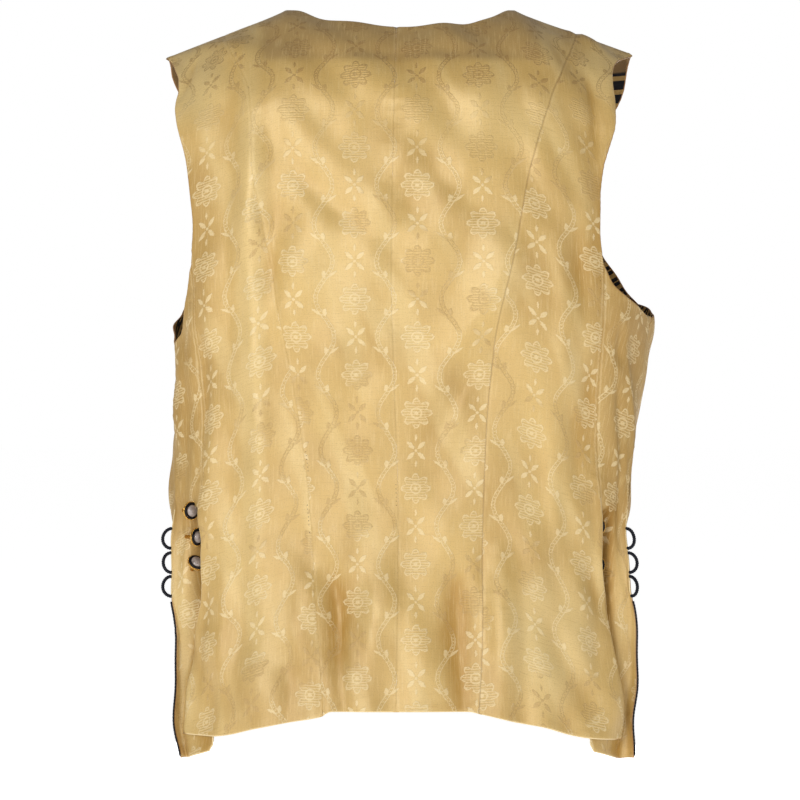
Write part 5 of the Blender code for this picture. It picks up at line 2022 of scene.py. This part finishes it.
# The studio: where the camera stands and what it takes in, the floor, and each light's name, place,
# size and power.
CAMERA_DISTANCE = 3.11
BACK_PLANE = -0.11
VIEW_WIDTH = 0.696
SENSOR_WIDTH = 36.0
EYE_HEIGHT = -0.350
FLOOR_HEIGHT = -0.95
FLOOR_RADIUS = 40.0
FLOOR_STEPS = 96
FLOOR_GREY = 0.92
FLOOR_GLOW = 0.74
WHITE = (1, 1, 1, 1)
WORLD_LIGHT = 0.28
LIGHTS = (
    ("key", (-2.0, -5.6, 0.60), (1.5, 1.9), 128.0),
    ("side_light", (-2.6, -1.8, 0.3), (0.8, 1.4), 4.0),
    ("low_light", (1.6, -2.9, -0.85), (1.2, 1.2), 13.0),
    ("front_light", (0.2, 2.9, -0.35), (1.8, 1.6), 32.0),
)


def studio():
    """Pale floor, soft light from the camera's left, and the camera behind the wearer."""
    scene = bpy.context.scene
    scene.view_settings.view_transform = "Standard"
    camera = in_scene("camera", bpy.data.cameras.new("camera"))
    camera.location = (0.0, -CAMERA_DISTANCE, EYE_HEIGHT)
    camera.rotation_euler = (math.radians(90), 0, 0)
    camera.data.sensor_width = SENSOR_WIDTH
    camera.data.lens = SENSOR_WIDTH * (CAMERA_DISTANCE + BACK_PLANE) / VIEW_WIDTH
    scene.camera = camera

    made, graph = shader("pale_floor")
    shine = graph.add("ShaderNodeBsdfDiffuse", {}, {"Color": (FLOOR_GREY, FLOOR_GREY, FLOOR_GREY, 1)})
    glow = graph.add("ShaderNodeEmission", {}, {"Color": WHITE, "Strength": FLOOR_GLOW})
    both = graph.add("ShaderNodeAddShader", {}, {0: shine, 1: glow})
    graph.add("ShaderNodeOutputMaterial", {}, {"Surface": both})
    data = bpy.data.meshes.new("floor")
    mesh = bmesh.new()
    bmesh.ops.create_circle(mesh, cap_ends=True, segments=FLOOR_STEPS, radius=FLOOR_RADIUS)
    mesh.to_mesh(data)
    mesh.free()
    data.materials.append(made)
    floor = in_scene("floor", data)
    floor.location.z = FLOOR_HEIGHT

    world = bpy.data.worlds.new("studio")
    world.use_nodes = True
    graph = Graph(world.node_tree)
    seen = graph.add("ShaderNodeLightPath", {}, {}, "Is Camera Ray")
    strength = seen * (1.0 - WORLD_LIGHT) + WORLD_LIGHT
    sky = graph.add("ShaderNodeBackground", {}, {"Color": WHITE, "Strength": strength})
    graph.add("ShaderNodeOutputWorld", {}, {"Surface": sky})
    scene.world = world

    for name, place, size, power in LIGHTS:
        light = bpy.data.lights.new(name, "AREA")
        light.shape = "RECTANGLE"
        light.size, light.size_y = size
        light.energy = power
        lamp = in_scene(name, light)
        lamp.location = place
        aim = Vector((0, 0, EYE_HEIGHT)) - Vector(place)
        lamp.rotation_euler = aim.to_track_quat("-Z", "Y").to_euler()


# How each panel lies on the woven length: turned a little (degrees), and from where in the repeat.
LAY = {
    "back_centre": (0.0, (0.012, 0.000)),
    "back_side": (2.0, (0.031, 0.017)),
    "side": (-3.0, (0.007, 0.029)),
    "front": (1.0, (0.019, 0.009)),
}

studio()
side_surfaces = {side: side_surface(side) for side in SIGN}
walls = {}
for side in SIGN:
    cuts = {
        "back_centre": (back_centre_outline(side), back_surface),
        "back_side": (back_side_outline(side), back_surface),
        "side": (side_outline(side), side_surfaces[side]),
        "front": (front_outline(side), front_surface(side)),
    }
    for name, (cut, surface) in cuts.items():
        turn, shift = LAY[name]
        piece = cloth(f"silk_{name}_{side}", cut, surface, math.radians(turn) * SIGN[side], shift)
        keep(piece, "silk", f"{name}_{side}")
        width, length = cut[0].max(axis=0) - cut[0].min(axis=0)
        if name == "side":
            walls[side] = wall_tree(piece)
    side_edge(side)
    for number, height in enumerate(LOOP_HEIGHTS, 1):
        loop(side, number, height)
    for number, row in enumerate(zip(*BUTTONS[side].values()), 1):
        button(side, number, row)
sewing()
